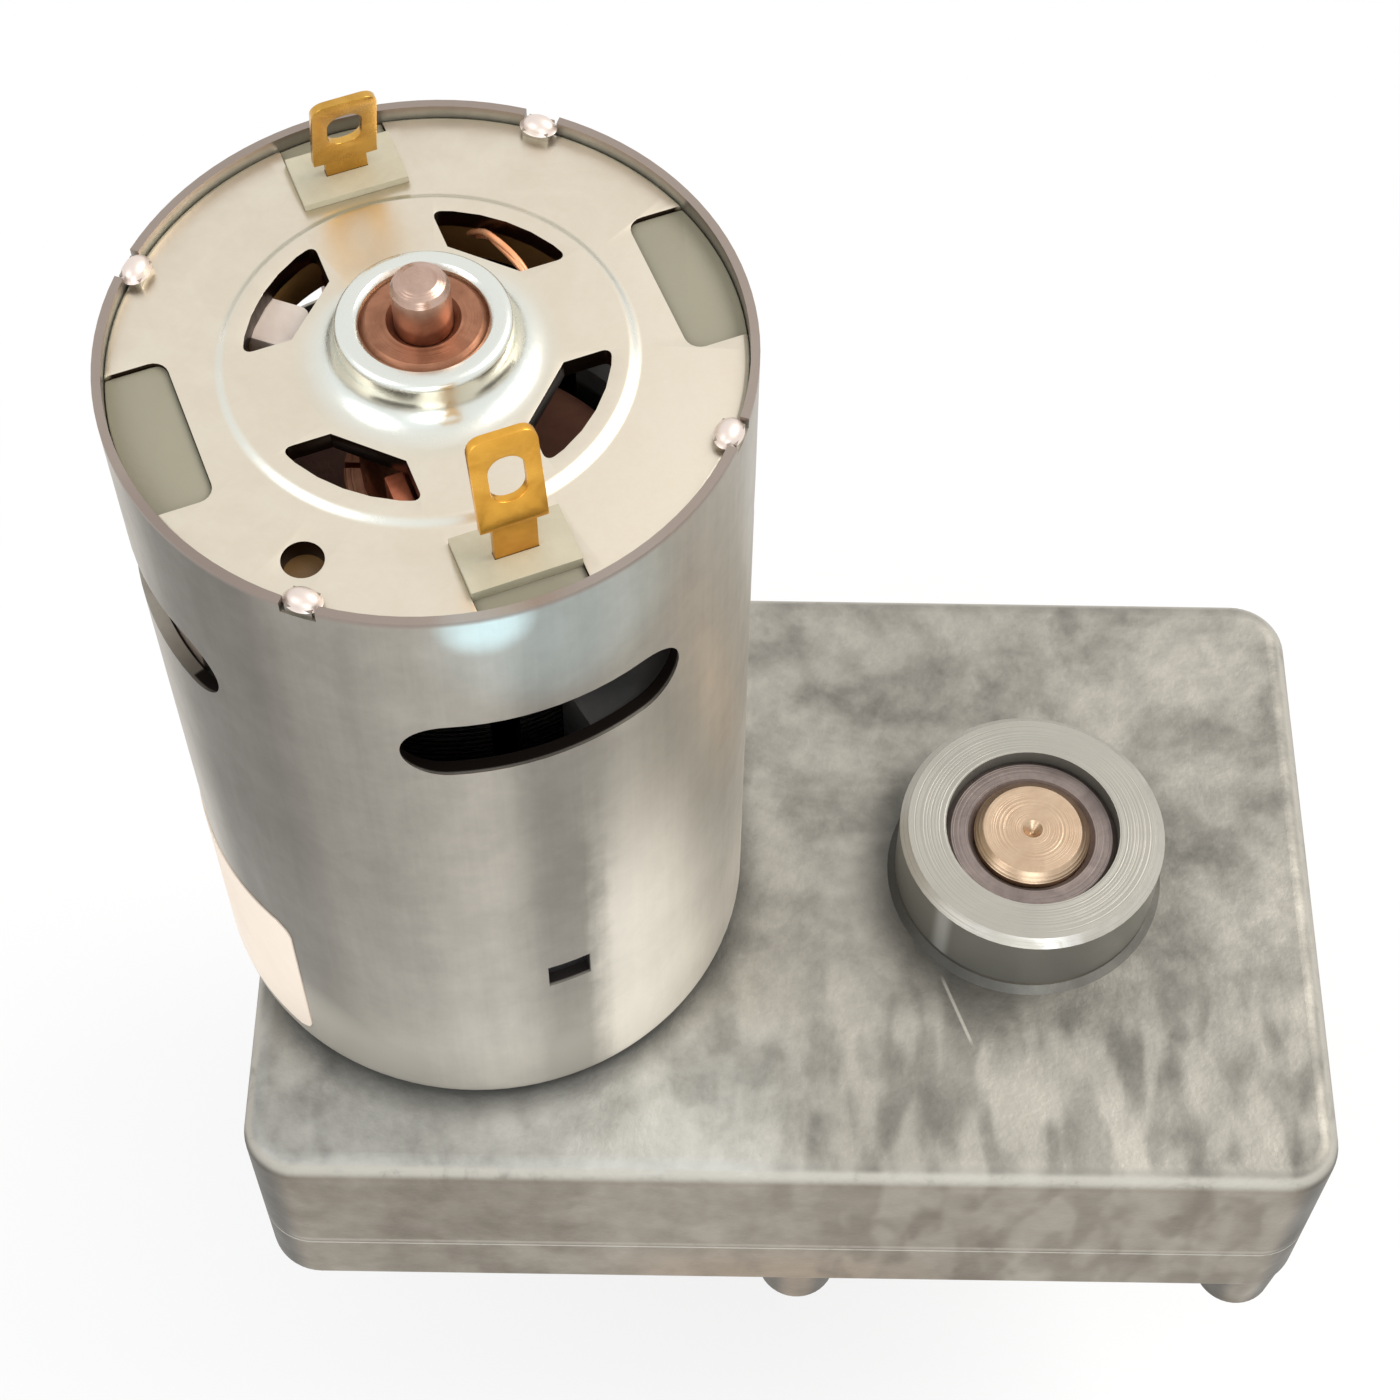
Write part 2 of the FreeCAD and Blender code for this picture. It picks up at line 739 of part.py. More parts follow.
def involuteSpan(radius, base):
    # how far the involute has turned from the base circle at this radius
    angle = math.acos(min(1.0, base / radius))
    return math.tan(angle) - angle


def gearFace(module, teeth, shift, bore):
    # the outline of a spur gear: each flank follows its involute through three points
    pressure = math.radians(size("pressure_angle"))
    pitch = module * teeth / 2
    base = pitch * math.cos(pressure)
    tip = pitch + module * (1 + shift) - size("tip_relief")
    root = pitch - module * (size("dedendum") - shift)
    start = max(base * 1.0005, root)
    thickness = module * (math.pi / 2 + 2 * shift * math.tan(pressure)) - size("backlash")
    half = thickness / (2 * pitch) + involuteSpan(pitch, base)

    def point(radius, angle):
        return FreeCAD.Vector(radius * math.cos(angle), radius * math.sin(angle), 0)

    def flank(radius, centre, side):
        return point(radius, centre + side * (half - involuteSpan(radius, base)))

    edges = []
    middle = (start + tip) / 2
    for tooth in range(teeth):
        centre = 2 * math.pi * tooth / teeth
        foot, head = flank(start, centre, -1), flank(tip, centre, -1)
        otherHead, otherFoot = flank(tip, centre, 1), flank(start, centre, 1)
        nextFoot = flank(start, centre + 2 * math.pi / teeth, -1)
        corners = [otherFoot, nextFoot]
        if start > root + 1e-6:
            low = point(root, centre - half)
            otherLow = point(root, centre + half)
            nextLow = point(root, centre + 2 * math.pi / teeth - half)
            edges.append(Part.makeLine(low, foot))
            corners = [otherFoot, otherLow, nextLow]
        bends = flank(middle, centre, -1), flank(middle, centre, 1)
        corners = [foot, bends[0], head, otherHead, bends[1]] + corners
        for first, second in zip(corners, corners[1:]):
            edges.append(Part.makeLine(first, second))
    hole = Part.Wire(Part.makeCircle(bore))
    return Part.makeFace([Part.Wire(edges), hole], "Part::FaceMakerBullseye")


def gearSolid(module, teeth, shift, bore, width):
    return gearFace(module, teeth, shift, bore).extrude(FreeCAD.Vector(0, 0, width))


def recessed(solid, inner, outer, width):
    # a shallow turned recess on both faces, between hub and rim
    depth = size("wheel_recess")
    for bottom in (0, width - depth):
        at = FreeCAD.Vector(0, 0, bottom)
        disc = Part.makeCylinder(outer, depth, at).cut(Part.makeCylinder(inner, depth, at))
        solid = solid.cut(disc)
    return solid


def heading(start, end):
    return math.atan2(end[1] - start[1], end[0] - start[0])


def makeGears():
    shift = size("profile_shift")
    motor = (-size("axis_distance"), 0.0)
    first = (size("first_axle_x"), size("first_axle_y"))
    second = (size("second_axle_x"), size("second_axle_y"))
    output = (0.0, 0.0)
    small, large = int(size("pinion_teeth")), int(size("wheel_teeth"))
    firstLevel = level(firstWheelLevel.strip("()"))
    secondLevel = level(secondWheelLevel.strip("()"))
    outputLevel = level(wheelLevel.strip("()"))
    bore = size("axle_radius") + size("running_gap")
    hub = size("hub_radius")
    recess = hub + size("recess_hub_room")
    gap = size("layer_gap")

    # the motor's pinion and the first wheel
    module = size("first_module")
    teeth, wheel = int(size("motor_pinion_teeth")), int(size("first_wheel_teeth"))
    width = size("motor_pinion_width")
    solid = gearSolid(module, teeth, shift, size("motor_shaft_radius"), width)
    turn = heading(motor, first)
    start = firstLevel - size("motor_pinion_overrun")
    finish("motor_pinion", shape("motor_pinion", solid, *motor, start, turn))
    width = size("first_wheel_width")
    solid = gearSolid(module, wheel, -shift, hub, width)
    solid = recessed(solid, recess, module * (wheel / 2 - size("rim_modules")), width)
    turn = heading(first, motor) + math.pi / wheel
    finish("first_gear_wheel", shape("first_gear_wheel", solid, *first, firstLevel, turn))

    # each pinion carries a round seat, and its wheel is pressed on that
    module = size("second_module")
    width = size("second_wheel_width") + gap
    solid = pinionSolid(module, small, shift, bore, width, size("first_wheel_width"))
    turn = heading(first, second)
    finish("first_gear_pinion",
           shape("first_gear_pinion", solid, *first, firstLevel - width, turn))
    width = size("second_wheel_width")
    solid = gearSolid(module, large, -shift, hub, width)
    solid = recessed(solid, recess, module * (large / 2 - size("rim_modules")), width)
    turn = heading(second, first) + math.pi / large
    finish("second_gear_wheel", shape("second_gear_wheel", solid, *second, secondLevel, turn))

    # the second pinion and the output wheel with its hub
    module = size("third_module")
    width = size("output_wheel_width") + gap
    solid = pinionSolid(module, small, shift, bore, width, size("second_wheel_width"))
    turn = heading(second, output)
    finish("second_gear_pinion",
           shape("second_gear_pinion", solid, *second, secondLevel - width, turn))
    width = size("output_wheel_width")
    radius = size("output_radius")
    solid = gearSolid(module, large, -shift, radius, width)
    recess = size("output_hub_radius") + size("recess_hub_room") / 2
    solid = recessed(solid, recess, module * (large / 2 - size("rim_modules")), width)
    hubHeight = width + size("output_hub_height")
    collar = Part.makeCylinder(size("output_hub_radius"), hubHeight)
    solid = solid.fuse(collar.cut(Part.makeCylinder(radius, hubHeight))).removeSplitter()
    turn = heading(output, second) + math.pi / large
    solid.rotate(FreeCAD.Vector(), FreeCAD.Vector(0, 0, 1), math.degrees(turn))
    middle = width + size("output_hub_height") / 2
    start = FreeCAD.Vector(-size("output_hub_radius") - 1, 0, middle)
    reach = 2 * size("output_hub_radius") + 2
    hole = Part.makeCylinder(size("pin_radius"), reach, start, FreeCAD.Vector(1, 0, 0))
    finish("output_gear", shape("output_gear", solid.cut(hole), *output, outputLevel, 0.0))


def pinionSolid(module, teeth, shift, bore, width, seat):
    solid = gearSolid(module, teeth, shift, bore, width)
    spigot = Part.makeCylinder(size("hub_radius"), seat, FreeCAD.Vector(0, 0, width))
    hole = Part.makeCylinder(bore, seat, FreeCAD.Vector(0, 0, width))
    return solid.fuse(spigot.cut(hole)).removeSplitter()


def makeAxles():
    bottom = "%s - axle_seat_depth" % floor
    for name, (x, y) in zip(("first_axle", "second_axle"), axlePlaces):
        axle = body(name, x, y, bottom)
        length = "%s - %s + 2 * axle_seat_depth" % (ceiling, floor)
        revolve(axle, [
            ("0", "0"),
            ("axle_radius - axle_chamfer", "0"),
            ("axle_radius", "axle_chamfer"),
            ("axle_radius", length + " - axle_chamfer"),
            ("axle_radius - axle_chamfer", length),
            ("0", length),
        ])
        finish(name, axle)


def makeGearWashers():
    bore = "axle_radius + running_gap"
    gapAbove = "(collar_gap - 2 * running_gap)"
    first, second = axlePlaces
    group("gear_washers", [
        ring("washerA", "collar_radius", bore, gapAbove, *first,
             "%s + first_wheel_width + running_gap" % firstWheelLevel),
        ring("washerB", "collar_radius", bore, gapAbove, *second,
             "%s + second_wheel_width + running_gap" % secondWheelLevel),
        ring("washerC", "collar_radius", bore, "washer_thickness", *first,
             "%s - washer_thickness - running_gap" % secondWheelLevel),
        ring("washerD", "collar_radius", bore, "wheel_floor_gap - 2 * running_gap", *second,
             "%s + running_gap" % floor),
    ])


def makeOutputShaft():
    shaft = body("output_shaft")
    top = "(%s + boss_height - output_sink)" % topFace
    bottom = "-output_reach"
    groove = "output_radius - circlip_groove"
    clipTop = "(post_height - pilot_height - washer_thickness - 2 * running_gap)"
    clipBottom = "(%s - circlip_thickness)" % clipTop
    revolve(shaft, [
        ("0", bottom + " + centre_drill_radius"),
        ("centre_drill_radius", bottom),
        ("output_radius - output_chamfer", bottom),
        ("output_radius", bottom + " + output_chamfer"),
        ("output_radius", clipBottom),
        (groove, clipBottom),
        (groove, clipTop),
        ("output_radius", clipTop),
        ("output_radius", top + " - output_chamfer"),
        ("output_radius - output_chamfer", top),
        ("centre_drill_radius", top),
        ("0", top + " - centre_drill_radius"),
    ])
    flat = sketchOn(shaft, "XY_Plane", bottom)
    addPolygon(flat, [
        ("output_radius - flat_depth", "-output_radius - 1"),
        ("output_radius + 1", "-output_radius - 1"),
        ("output_radius + 1", "output_radius + 1"),
        ("output_radius - flat_depth", "output_radius + 1"),
    ])
    pocket(shaft, flat, "flat_length", True)
    cross = sketchOn(shaft, "YZ_Plane", "-output_radius - 1")
    pinLevel = "%s + output_wheel_width + output_hub_height / 2" % wheelLevel
    addCircle(cross, "0", pinLevel, "pin_radius")
    pocket(shaft, cross, "2 * output_radius + 2", True)
    finish("output_shaft", shaft)

    # cross pin through hub and shaft, spacer, washer and circlip
    crossPin = body("output_pin")
    profile = sketchOn(crossPin, "YZ_Plane", "-output_hub_radius + pin_inset")
    addCircle(profile, "0", pinLevel, "pin_radius")
    pad(crossPin, profile, "2 * (output_hub_radius - pin_inset)")
    finish("output_pin", crossPin)
    hubTop = "(%s + output_wheel_width + output_hub_height)" % wheelLevel
    bushingEnd = "(%s + boss_height - output_bushing_sink - upper_bushing_length)" % topFace
    bore = "output_radius + running_gap"
    finish("output_spacer", ring("output_spacer", "output_bushing_radius - spacer_inset", bore,
                                 "%s - %s - 3 * running_gap" % (bushingEnd, hubTop),
                                 z=hubTop))
    finish("output_washer", ring("output_washer", "output_bushing_radius - washer_inset", bore,
                                 "washer_thickness", z=clipTop + " + running_gap"))
    clip = body("output_circlip", z=clipBottom)
    revolve(clip, [
        (groove, "0"),
        ("circlip_radius", "0"),
        ("circlip_radius", "circlip_thickness"),
        (groove, "circlip_thickness"),
    ])
    gap = sketchOn(clip, "XY_Plane", "circlip_thickness")
    addPolygon(gap, [("-1", "0"), ("1", "0"), ("2", "circlip_radius + 1"),
                     ("-2", "circlip_radius + 1")])
    pocket(clip, gap, "circlip_thickness")
    finish("output_circlip", clip)


def makeCan():
    can = body("motor_can", motorX, "0", topFace)
    wall = "can_wall"
    inner = "(can_radius - can_wall)"
    revolve(can, [
        ("motor_bushing_radius", "-front_boss_height"),
        ("front_boss_radius", "-front_boss_height"),
        ("front_boss_radius", "0"),
        ("can_radius", "0"),
        ("can_radius", "can_height"),
        ("mouth_radius", "can_height"),
        ("mouth_radius", "can_height - plate_sink - plate_thickness"),
        (inner, "can_height - plate_sink - plate_thickness"),
        (inner, wall),
        ("motor_bushing_radius", wall),
    ])

    def isFoot(edge):
        wide = abs(edge.BoundBox.XLength - 2 * sizes["can_radius"]) < 1e-4
        return wide and liesAt(edge, 0.0)

    dress(can, "Fillet", "can_foot_round", isFoot)
    # long vent slots and the small key holes, cut through one wall and repeated
    profile = wallSketch(can, "slot_angle")
    addSlot(profile, "slot_level", "slot_half_length - slot_radius", "slot_radius")
    slot = pocket(can, profile, "can_radius + 1", True)
    polar(can, slot, "4")
    profile = wallSketch(can, "slot_angle")
    half, rise = "key_hole_width / 2", "key_hole_height / 2"
    addPolygon(profile, [("-" + half, "key_hole_level - " + rise),
                         (half, "key_hole_level - " + rise),
                         (half, "key_hole_level + " + rise),
                         ("-" + half, "key_hole_level + " + rise)])
    keyHole = pocket(can, profile, "can_radius + 1", True)
    polar(can, keyHole, "2")
    # tapped holes for the two screws that come up through the gearbox
    holes = sketchOn(can, "XY_Plane", wall)
    for side in ("", "-"):
        addCircle(holes, "0", side + "motor_screw_circle", "motor_screw_radius + screw_gap")
    pocket(can, holes, wall)
    # rim notches for the folded crimp tabs
    notch = sketchOn(can, "XY_Plane", "can_height")
    notchAt(notch)
    cut = pocket(can, notch, "plate_sink")
    polar(can, cut, "4")
    tab = sketchOn(can, "XY_Plane", "can_height - plate_sink")
    tabAt(tab)
    fold = pad(can, tab, "tab_thickness")
    polar(can, fold, "4")
    finish("motor_can", can)


def wallSketch(owner, angle):
    # an upright sketch that faces outwards at the given angle round the axis
    profile = sketchOn(owner, "XZ_Plane")
    turn = FreeCAD.Rotation(FreeCAD.Vector(0, 1, 0), sizes[angle] + 90.0)
    profile.AttachmentOffset = FreeCAD.Placement(FreeCAD.Vector(), turn)
    return profile


def sector(item, inner, outer, innerSpread, outerSpread, angle):
    # three straight sides, and an outer side that is an arc round the axis
    corners = []
    for radius, sign, spread in ((inner, "-", innerSpread), (outer, "-", outerSpread),
                                 (outer, "+", outerSpread), (inner, "+", innerSpread)):
        turn = sizes[angle] - sizes[spread] if sign == "-" else sizes[angle] + sizes[spread]
        text = "((%s %s %s) * 1 deg)" % (angle, sign, spread)
        corners.append((turn, sizes[radius], "%s * cos%s" % (radius, text),
                        "%s * sin%s" % (radius, text)))
    points = [FreeCAD.Vector(reach * math.cos(math.radians(turn)),
                             reach * math.sin(math.radians(turn)), 0)
              for turn, reach, across, along in corners]
    start = item.GeometryCount
    circle = Part.Circle(FreeCAD.Vector(), FreeCAD.Vector(0, 0, 1), sizes[outer])
    first, last = math.radians(corners[1][0]), math.radians(corners[2][0])
    item.addGeometry(Part.LineSegment(points[0], points[1]), False)
    item.addGeometry(Part.ArcOfCircle(circle, first, last), False)
    item.addGeometry(Part.LineSegment(points[2], points[3]), False)
    item.addGeometry(Part.LineSegment(points[3], points[0]), False)
    for i in range(4):
        following = start + (i + 1) % 4
        item.addConstraint(Sketcher.Constraint("Coincident", start + i, 2, following, 1))
    for i, side, end in ((0, 0, 1), (1, 0, 2), (2, 2, 1), (3, 2, 2)):
        pin(item, "DistanceX", -1, 1, start + side, end, points[i].x, corners[i][2])
        pin(item, "DistanceY", -1, 1, start + side, end, points[i].y, corners[i][3])
    pin(item, "Radius", start + 1, sizes[outer], outer)


def slab(item, inner, outer, width, angle):
    # a rectangle that lies along a radius
    cosine, sine = "cos(%s * 1 deg)" % angle, "sin(%s * 1 deg)" % angle
    points = []
    for radius, side in ((inner, "-"), (outer, "-"), (outer, "+"), (inner, "+")):
        other = "+" if side == "-" else "-"
        points.append(("(%s) * %s %s (%s) / 2 * %s" % (radius, cosine, other, width, sine),
                       "(%s) * %s %s (%s) / 2 * %s" % (radius, sine, side, width, cosine)))
    addPolygon(item, points)


def notchAt(item):
    slab(item, "mouth_radius - notch_gap", "can_radius + notch_gap", "tab_width + 2 * notch_gap",
         "tab_angle")


def tabAt(item):
    slab(item, "mouth_radius - tab_fold", "can_radius - tab_sink", "tab_width", "tab_angle")


def isVentCorner(edge):
    reach = math.hypot(edge.BoundBox.XMin, edge.BoundBox.YMin)
    near = min(abs(reach - sizes["vent_inner_radius"]), abs(reach - sizes["vent_outer_radius"]))
    return isUpright(edge) and near < 1e-4


def makeEndPlate():
    plate = body("motor_end_plate", motorX, "0", canTop)
    slope = "(plateau_radius + plateau_slope)"
    under = "-plateau_sink - plate_thickness"
    fold = "0.3 * plate_thickness"
    revolve(plate, [
        ("motor_bushing_radius", under + " - end_boss_root"),
        ("end_boss_radius", under + " - end_boss_root"),
        ("end_boss_radius", under),
        ("plateau_radius - " + fold, under),
        (slope + " - " + fold, "-plate_sink - plate_thickness"),
        ("mouth_radius", "-plate_sink - plate_thickness"),
        ("mouth_radius", "-plate_sink - plate_edge_round"),
        ("mouth_radius - plate_edge_round", "-plate_sink"),
        (slope, "-plate_sink"),
        ("plateau_radius", "-plateau_sink"),
        ("end_boss_radius", "-plateau_sink"),
        ("end_boss_radius", "end_boss_rise"),
        ("motor_bushing_radius", "end_boss_rise"),
    ])
    radius, sink = sizes["end_boss_radius"], sizes["plateau_sink"]

    def isFlare(edge):
        return liesAt(edge, -sink) and abs(edge.BoundBox.XLength - 2 * radius) < 1e-4

    def isLip(edge):
        wide = abs(edge.BoundBox.XLength - 2 * radius) < 1e-4
        return wide and liesAt(edge, sizes["end_boss_rise"])

    dress(plate, "Fillet", "end_boss_flare", isFlare)
    dress(plate, "Chamfer", "end_boss_lip", isLip)
    vent = sketchOn(plate, "XY_Plane")
    sector(vent, "vent_inner_radius", "vent_outer_radius", "vent_inner_half_angle",
           "vent_half_angle", "vent_angle")
    cut = pocket(plate, vent, "plateau_sink + plate_thickness + 1")
    polar(plate, cut, "4")
    dress(plate, "Fillet", "vent_corner", isVentCorner)
    window = sketchOn(plate, "XY_Plane")
    slab(window, "window_inner_radius", "can_radius + 1", "window_width", "window_angle")
    cut = pocket(plate, window, "plate_sink + plate_thickness + 1")
    polar(plate, cut, "2")
    opening = sketchOn(plate, "XY_Plane")
    slab(opening, "pad_inner_radius", "can_radius + 1", "pad_width", "terminal_angle")
    cut = pocket(plate, opening, "plate_sink + plate_thickness + 1")
    polar(plate, cut, "2")
    gauge = sketchOn(plate, "XY_Plane")
    angle = "(gauge_hole_angle * 1 deg)"
    addCircle(gauge, "gauge_hole_circle * cos%s" % angle, "gauge_hole_circle * sin%s" % angle,
              "gauge_hole_radius")
    pocket(plate, gauge, "plate_sink + plate_thickness + 1")
    finish("motor_end_plate", plate)


def makeCarrier():
    carrier = body("brush_carrier", motorX, "0", canTop)
    under = "(plate_sink + plate_thickness)"
    revolve(carrier, [
        ("carrier_inner_radius", "-%s - carrier_thickness" % under),
        ("rim_radius", "-%s - carrier_thickness" % under),
        ("rim_radius", "-%s" % under),
        ("plateau_radius + plateau_slope", "-%s" % under),
        ("carrier_inner_radius", "-%s" % under),
    ])
    root = "carrier_thickness / 4"
    for reach, height in (("pad_outer_radius", "- pad_ledge_drop"), ("pad_step_radius", "+ pad_rise")):
        pads = sketchOn(carrier, "XY_Plane", "-%s - %s" % (under, root))
        slab(pads, "pad_inner_radius + moulding_gap", reach,
             "pad_width - 2 * moulding_gap", "terminal_angle")
        rise = pad(carrier, pads, "plate_thickness %s + %s" % (height, root))
        polar(carrier, rise, "2")
    lugs = sketchOn(carrier, "XY_Plane", "-%s - %s" % (under, root))
    slab(lugs, "window_inner_radius + moulding_gap",
         "sqrt(pow(rim_radius; 2) - pow(window_width / 2; 2))",
         "window_width - 2 * moulding_gap", "window_angle")
    rise = pad(carrier, lugs, "plate_thickness - window_recess + " + root)
    polar(carrier, rise, "2")
    slots = sketchOn(carrier, "XY_Plane", "pad_rise")
    slab(slots, "terminal_circle - terminal_thickness / 2 - moulding_gap",
         "terminal_circle + terminal_thickness / 2 + moulding_gap",
         "terminal_neck_width + 2 * moulding_gap", "terminal_angle")
    cut = pocket(carrier, slots, "plate_sink + terminal_root + pad_rise")
    polar(carrier, cut, "2")
    finish("brush_carrier", carrier)


def makeTerminal(name, angle, neckHeight):
    base = "%s - plate_sink" % canTop
    turn = "(%s)" % angle
    x = "%s + terminal_circle * cos(%s * 1 deg)" % (motorX, turn)
    y = "terminal_circle * sin(%s * 1 deg)" % turn
    blade = body(name, x, y, base, turn)
    half = "terminal_thickness / 2"
    bend = "(pad_rise + %s)" % neckHeight
    top = "(pad_rise + %s + terminal_blade_height)" % neckHeight
    drift = "terminal_blade_height * tan(terminal_lean * 1 deg)"
    # the strip seen from the side: upright neck, then a blade that leans to the shaft
    side = sketchOn(blade, "XZ_Plane", "-terminal_width / 2")
    addPolygon(side, [
        ("-" + half, "-terminal_root"),
        (half, "-terminal_root"),
        (half, bend),
        ("%s - %s" % (half, drift), top),
        ("-%s - %s" % (half, drift), top),
        ("-" + half, bend),
    ])
    pad(blade, side, "terminal_width")
    height = level(top.strip("()"))

    def isTopCorner(edge):
        return liesAt(edge, height) and edge.BoundBox.YLength < 1e-6

    dress(blade, "Fillet", "terminal_corner", isTopCorner)
    for sign in ("-", ""):
        neck = sketchOn(blade, "YZ_Plane", "-2")
        near = "%sterminal_neck_width / 2" % sign
        away = "%s(terminal_width / 2 + 1)" % sign
        shoulder = bend + " - terminal_thickness / 2"
        addPolygon(neck, [(near, "-terminal_root - 1"), (away, "-terminal_root - 1"),
                          (away, shoulder), (near, shoulder)])
        pocket(blade, neck, "4", True)
    # the tall hole for the wire, its corners rounded nearly to half its width
    hole = sketchOn(blade, "YZ_Plane", "-3")
    middle = "(%s + %s) / 2" % (bend, top)
    low = middle + " - terminal_hole_height / 2"
    high = middle + " + terminal_hole_height / 2"
    half = "terminal_hole_width / 2"
    addPolygon(hole, [("-" + half, low), (half, low), (half, high), ("-" + half, high)])
    pocket(blade, hole, "6", True)
    reach = sizes["terminal_hole_width"] / 2

    def isHoleCorner(edge):
        box = edge.BoundBox
        flat = box.YLength < 1e-6 and box.ZLength < 1e-6
        return flat and abs(abs(box.YMin) - reach) < 1e-6

    dress(blade, "Fillet", half + " - moulding_gap", isHoleCorner)
    finish(name, blade)


def makeBrushes():
    under = "(plate_sink + plate_thickness + carrier_thickness)"
    brushes, springs = [], []
    for i, turn in enumerate(("0", "180")):
        angle = "(terminal_angle + %s)" % turn
        brush = body("brush%d" % i, motorX, "0", canTop, angle)
        profile = sketchOn(brush, "XY_Plane", "-%s - brush_drop - brush_height" % under)
        slab(profile, "commutator_radius + brush_gap", "commutator_radius + brush_length",
             "brush_width", "0")
        pad(brush, profile, "brush_height")
        brushes.append(brush)
        spring = body("spring%d" % i, motorX, "0", canTop, angle)
        profile = sketchOn(spring, "XY_Plane", "-%s - brush_drop - brush_height" % under)
        outer = "commutator_radius + brush_length"
        width = "brush_width + 1.5 * spring_thickness"
        slab(profile, outer, outer + " + spring_thickness", width, "0")
        pad(spring, profile, "brush_height + brush_drop - spring_thickness")
        foot = sketchOn(spring, "XY_Plane", "-%s - spring_thickness" % under)
        slab(foot, outer, "rim_radius - spring_end_room", width, "0")
        pad(spring, foot, "spring_thickness")
        springs.append(spring)
    group("carbon_brushes", brushes)
    group("brush_springs", springs)


def makeMagnets():
    magnets = []
    angle = "magnet_angle"
    inner = "(rim_radius - magnet_thickness)"
    bottom = "core_level - magnet_overlap / 2"
    for i, turn in enumerate(("0", "180")):
        # each arc is centred on a line across the box
        magnet = body("magnet%d" % i, motorX, "0", topFace,
                      "(%s - %s / 2)" % (turn, angle))
        revolve(magnet, [
            (inner, bottom),
            ("rim_radius", bottom),
            ("rim_radius", bottom + " + magnet_length"),
            (inner, bottom + " + magnet_length"),
        ], angle)
        magnets.append(magnet)
    group("magnets", magnets)
    clips = []
    for i, turn in enumerate(("90", "270")):
        clip = body("clip%d" % i, motorX, "0", topFace, "(%s - clip_angle / 2)" % turn)
        revolve(clip, [
            ("rim_radius - clip_thickness", bottom),
            ("rim_radius", bottom),
            ("rim_radius", bottom + " + magnet_length - clip_shortfall"),
            ("rim_radius - clip_thickness", bottom + " + magnet_length - clip_shortfall"),
        ], "clip_angle")
        clips.append(clip)
    group("magnet_clips", clips)


def makeArmature():
    shaft = body("motor_shaft", motorX)
    bottom = "(%s - shaft_overrun)" % firstWheelLevel
    top = "(%s + end_boss_rise + shaft_tip_rise)" % canTop
    revolve(shaft, [
        ("0", bottom),
        ("motor_shaft_radius * 0.8", bottom),
        ("motor_shaft_radius", bottom + " + motor_shaft_radius * 0.2"),
        ("motor_shaft_radius", top + " - motor_shaft_radius * 0.4"),
        ("motor_shaft_radius * 0.88", top + " - motor_shaft_radius * 0.14"),
        ("motor_shaft_radius * 0.6", top),
        ("0", top),
    ])
    finish("motor_shaft", shaft)
    core = body("armature_core", motorX, "0", "%s + core_level" % topFace)
    profile = sketchOn(core, "XY_Plane")
    addCircle(profile, "0", "0", "core_radius")
    addCircle(profile, "0", "0", "motor_shaft_radius")
    pad(core, profile, "core_length")
    slot = sketchOn(core, "XY_Plane", "core_length")
    shoulder = "core_radius - core_bridge"
    half = ["0.05 * core_radius", "0.26 * core_radius", "0.07 * core_radius", "0.07 * core_radius"]
    along = ["0.3 * core_radius", shoulder, shoulder, "core_radius + 1"]
    near = list(zip(along, half))
    addPolygon(slot, near + [(x, "-" + y) for x, y in reversed(near)])
    cut = pocket(core, slot, "core_length")
    polar(core, cut, "core_slots")
    finish("armature_core", core)
    # the ends of the coils stand out past the core as two fat rings
    windings, insulators = [], []
    for i, start in enumerate(("core_level - coil_overhang - insulator_thickness",
                               "core_level + core_length + insulator_thickness")):
        coil = body("coil%d" % i, motorX, "0", "%s + %s" % (topFace, start))
        bore = "commutator_radius - riser_height / 2"
        revolve(coil, [
            (bore, "coil_round"),
            (bore + " + coil_round", "0"),
            ("coil_radius - coil_round", "0"),
            ("coil_radius", "coil_round"),
            ("coil_radius", "coil_overhang - coil_round"),
            ("coil_radius - coil_round", "coil_overhang"),
            (bore + " + coil_round", "coil_overhang"),
            (bore, "coil_overhang - coil_round"),
        ])
        windings.append(coil)
    for i, start in enumerate(("core_level - insulator_thickness", "core_level + core_length")):
        insulators.append(ring("insulator%d" % i, "0.98 * core_radius", "motor_shaft_radius",
                               "insulator_thickness", motorX, "0",
                               "%s + %s" % (topFace, start)))
    group("armature_windings", windings)
    group("armature_insulators", insulators)
    start = "%s + core_level + core_length + insulator_thickness" % topFace
    # a sleeve through the coil, the risers that the wires are hooked to, then the bars
    segments = body("commutator", motorX, "0", start)
    neck = "commutator_radius - riser_height * 0.6"
    riser = "coil_overhang + riser_start"
    bars = riser + " + riser_height"
    revolve(segments, [
        ("motor_shaft_radius", "0"),
        (neck, "0"),
        (neck, riser),
        ("commutator_radius + riser_height", riser),
        ("commutator_radius + riser_height", bars),
        ("commutator_radius", bars),
        ("commutator_radius", bars + " + commutator_length"),
        ("motor_shaft_radius", bars + " + commutator_length"),
    ])
    gap = sketchOn(segments, "XY_Plane", bars + " + commutator_length")
    slab(gap, "commutator_radius - commutator_slot", "commutator_radius + 2 * riser_height",
         "commutator_slot", "180 / core_slots")
    cut = pocket(segments, gap, "commutator_length + riser_height")
    polar(segments, cut, "core_slots")
    finish("commutator", segments)
    # collars that set the armature's end play between the two bushings
    frontEnd = "(%s - front_boss_height + can_wall + motor_bushing_length)" % topFace
    coreStart = "(%s + core_level - insulator_thickness)" % topFace
    endStart = "(%s + %s + commutator_length)" % (start, bars)
    endBushing = "(%s + end_boss_rise - end_bushing_sink - motor_bushing_length)" % canTop
    group("thrust_washers", [
        ring("thrustFront", "collar_radius", "motor_shaft_radius",
             "%s - %s - end_play" % (coreStart, frontEnd), motorX, "0",
             frontEnd + " + end_play"),
        ring("thrustEnd", "collar_radius", "motor_shaft_radius",
             "%s - %s - end_play" % (endBushing, endStart), motorX, "0", endStart),
    ])


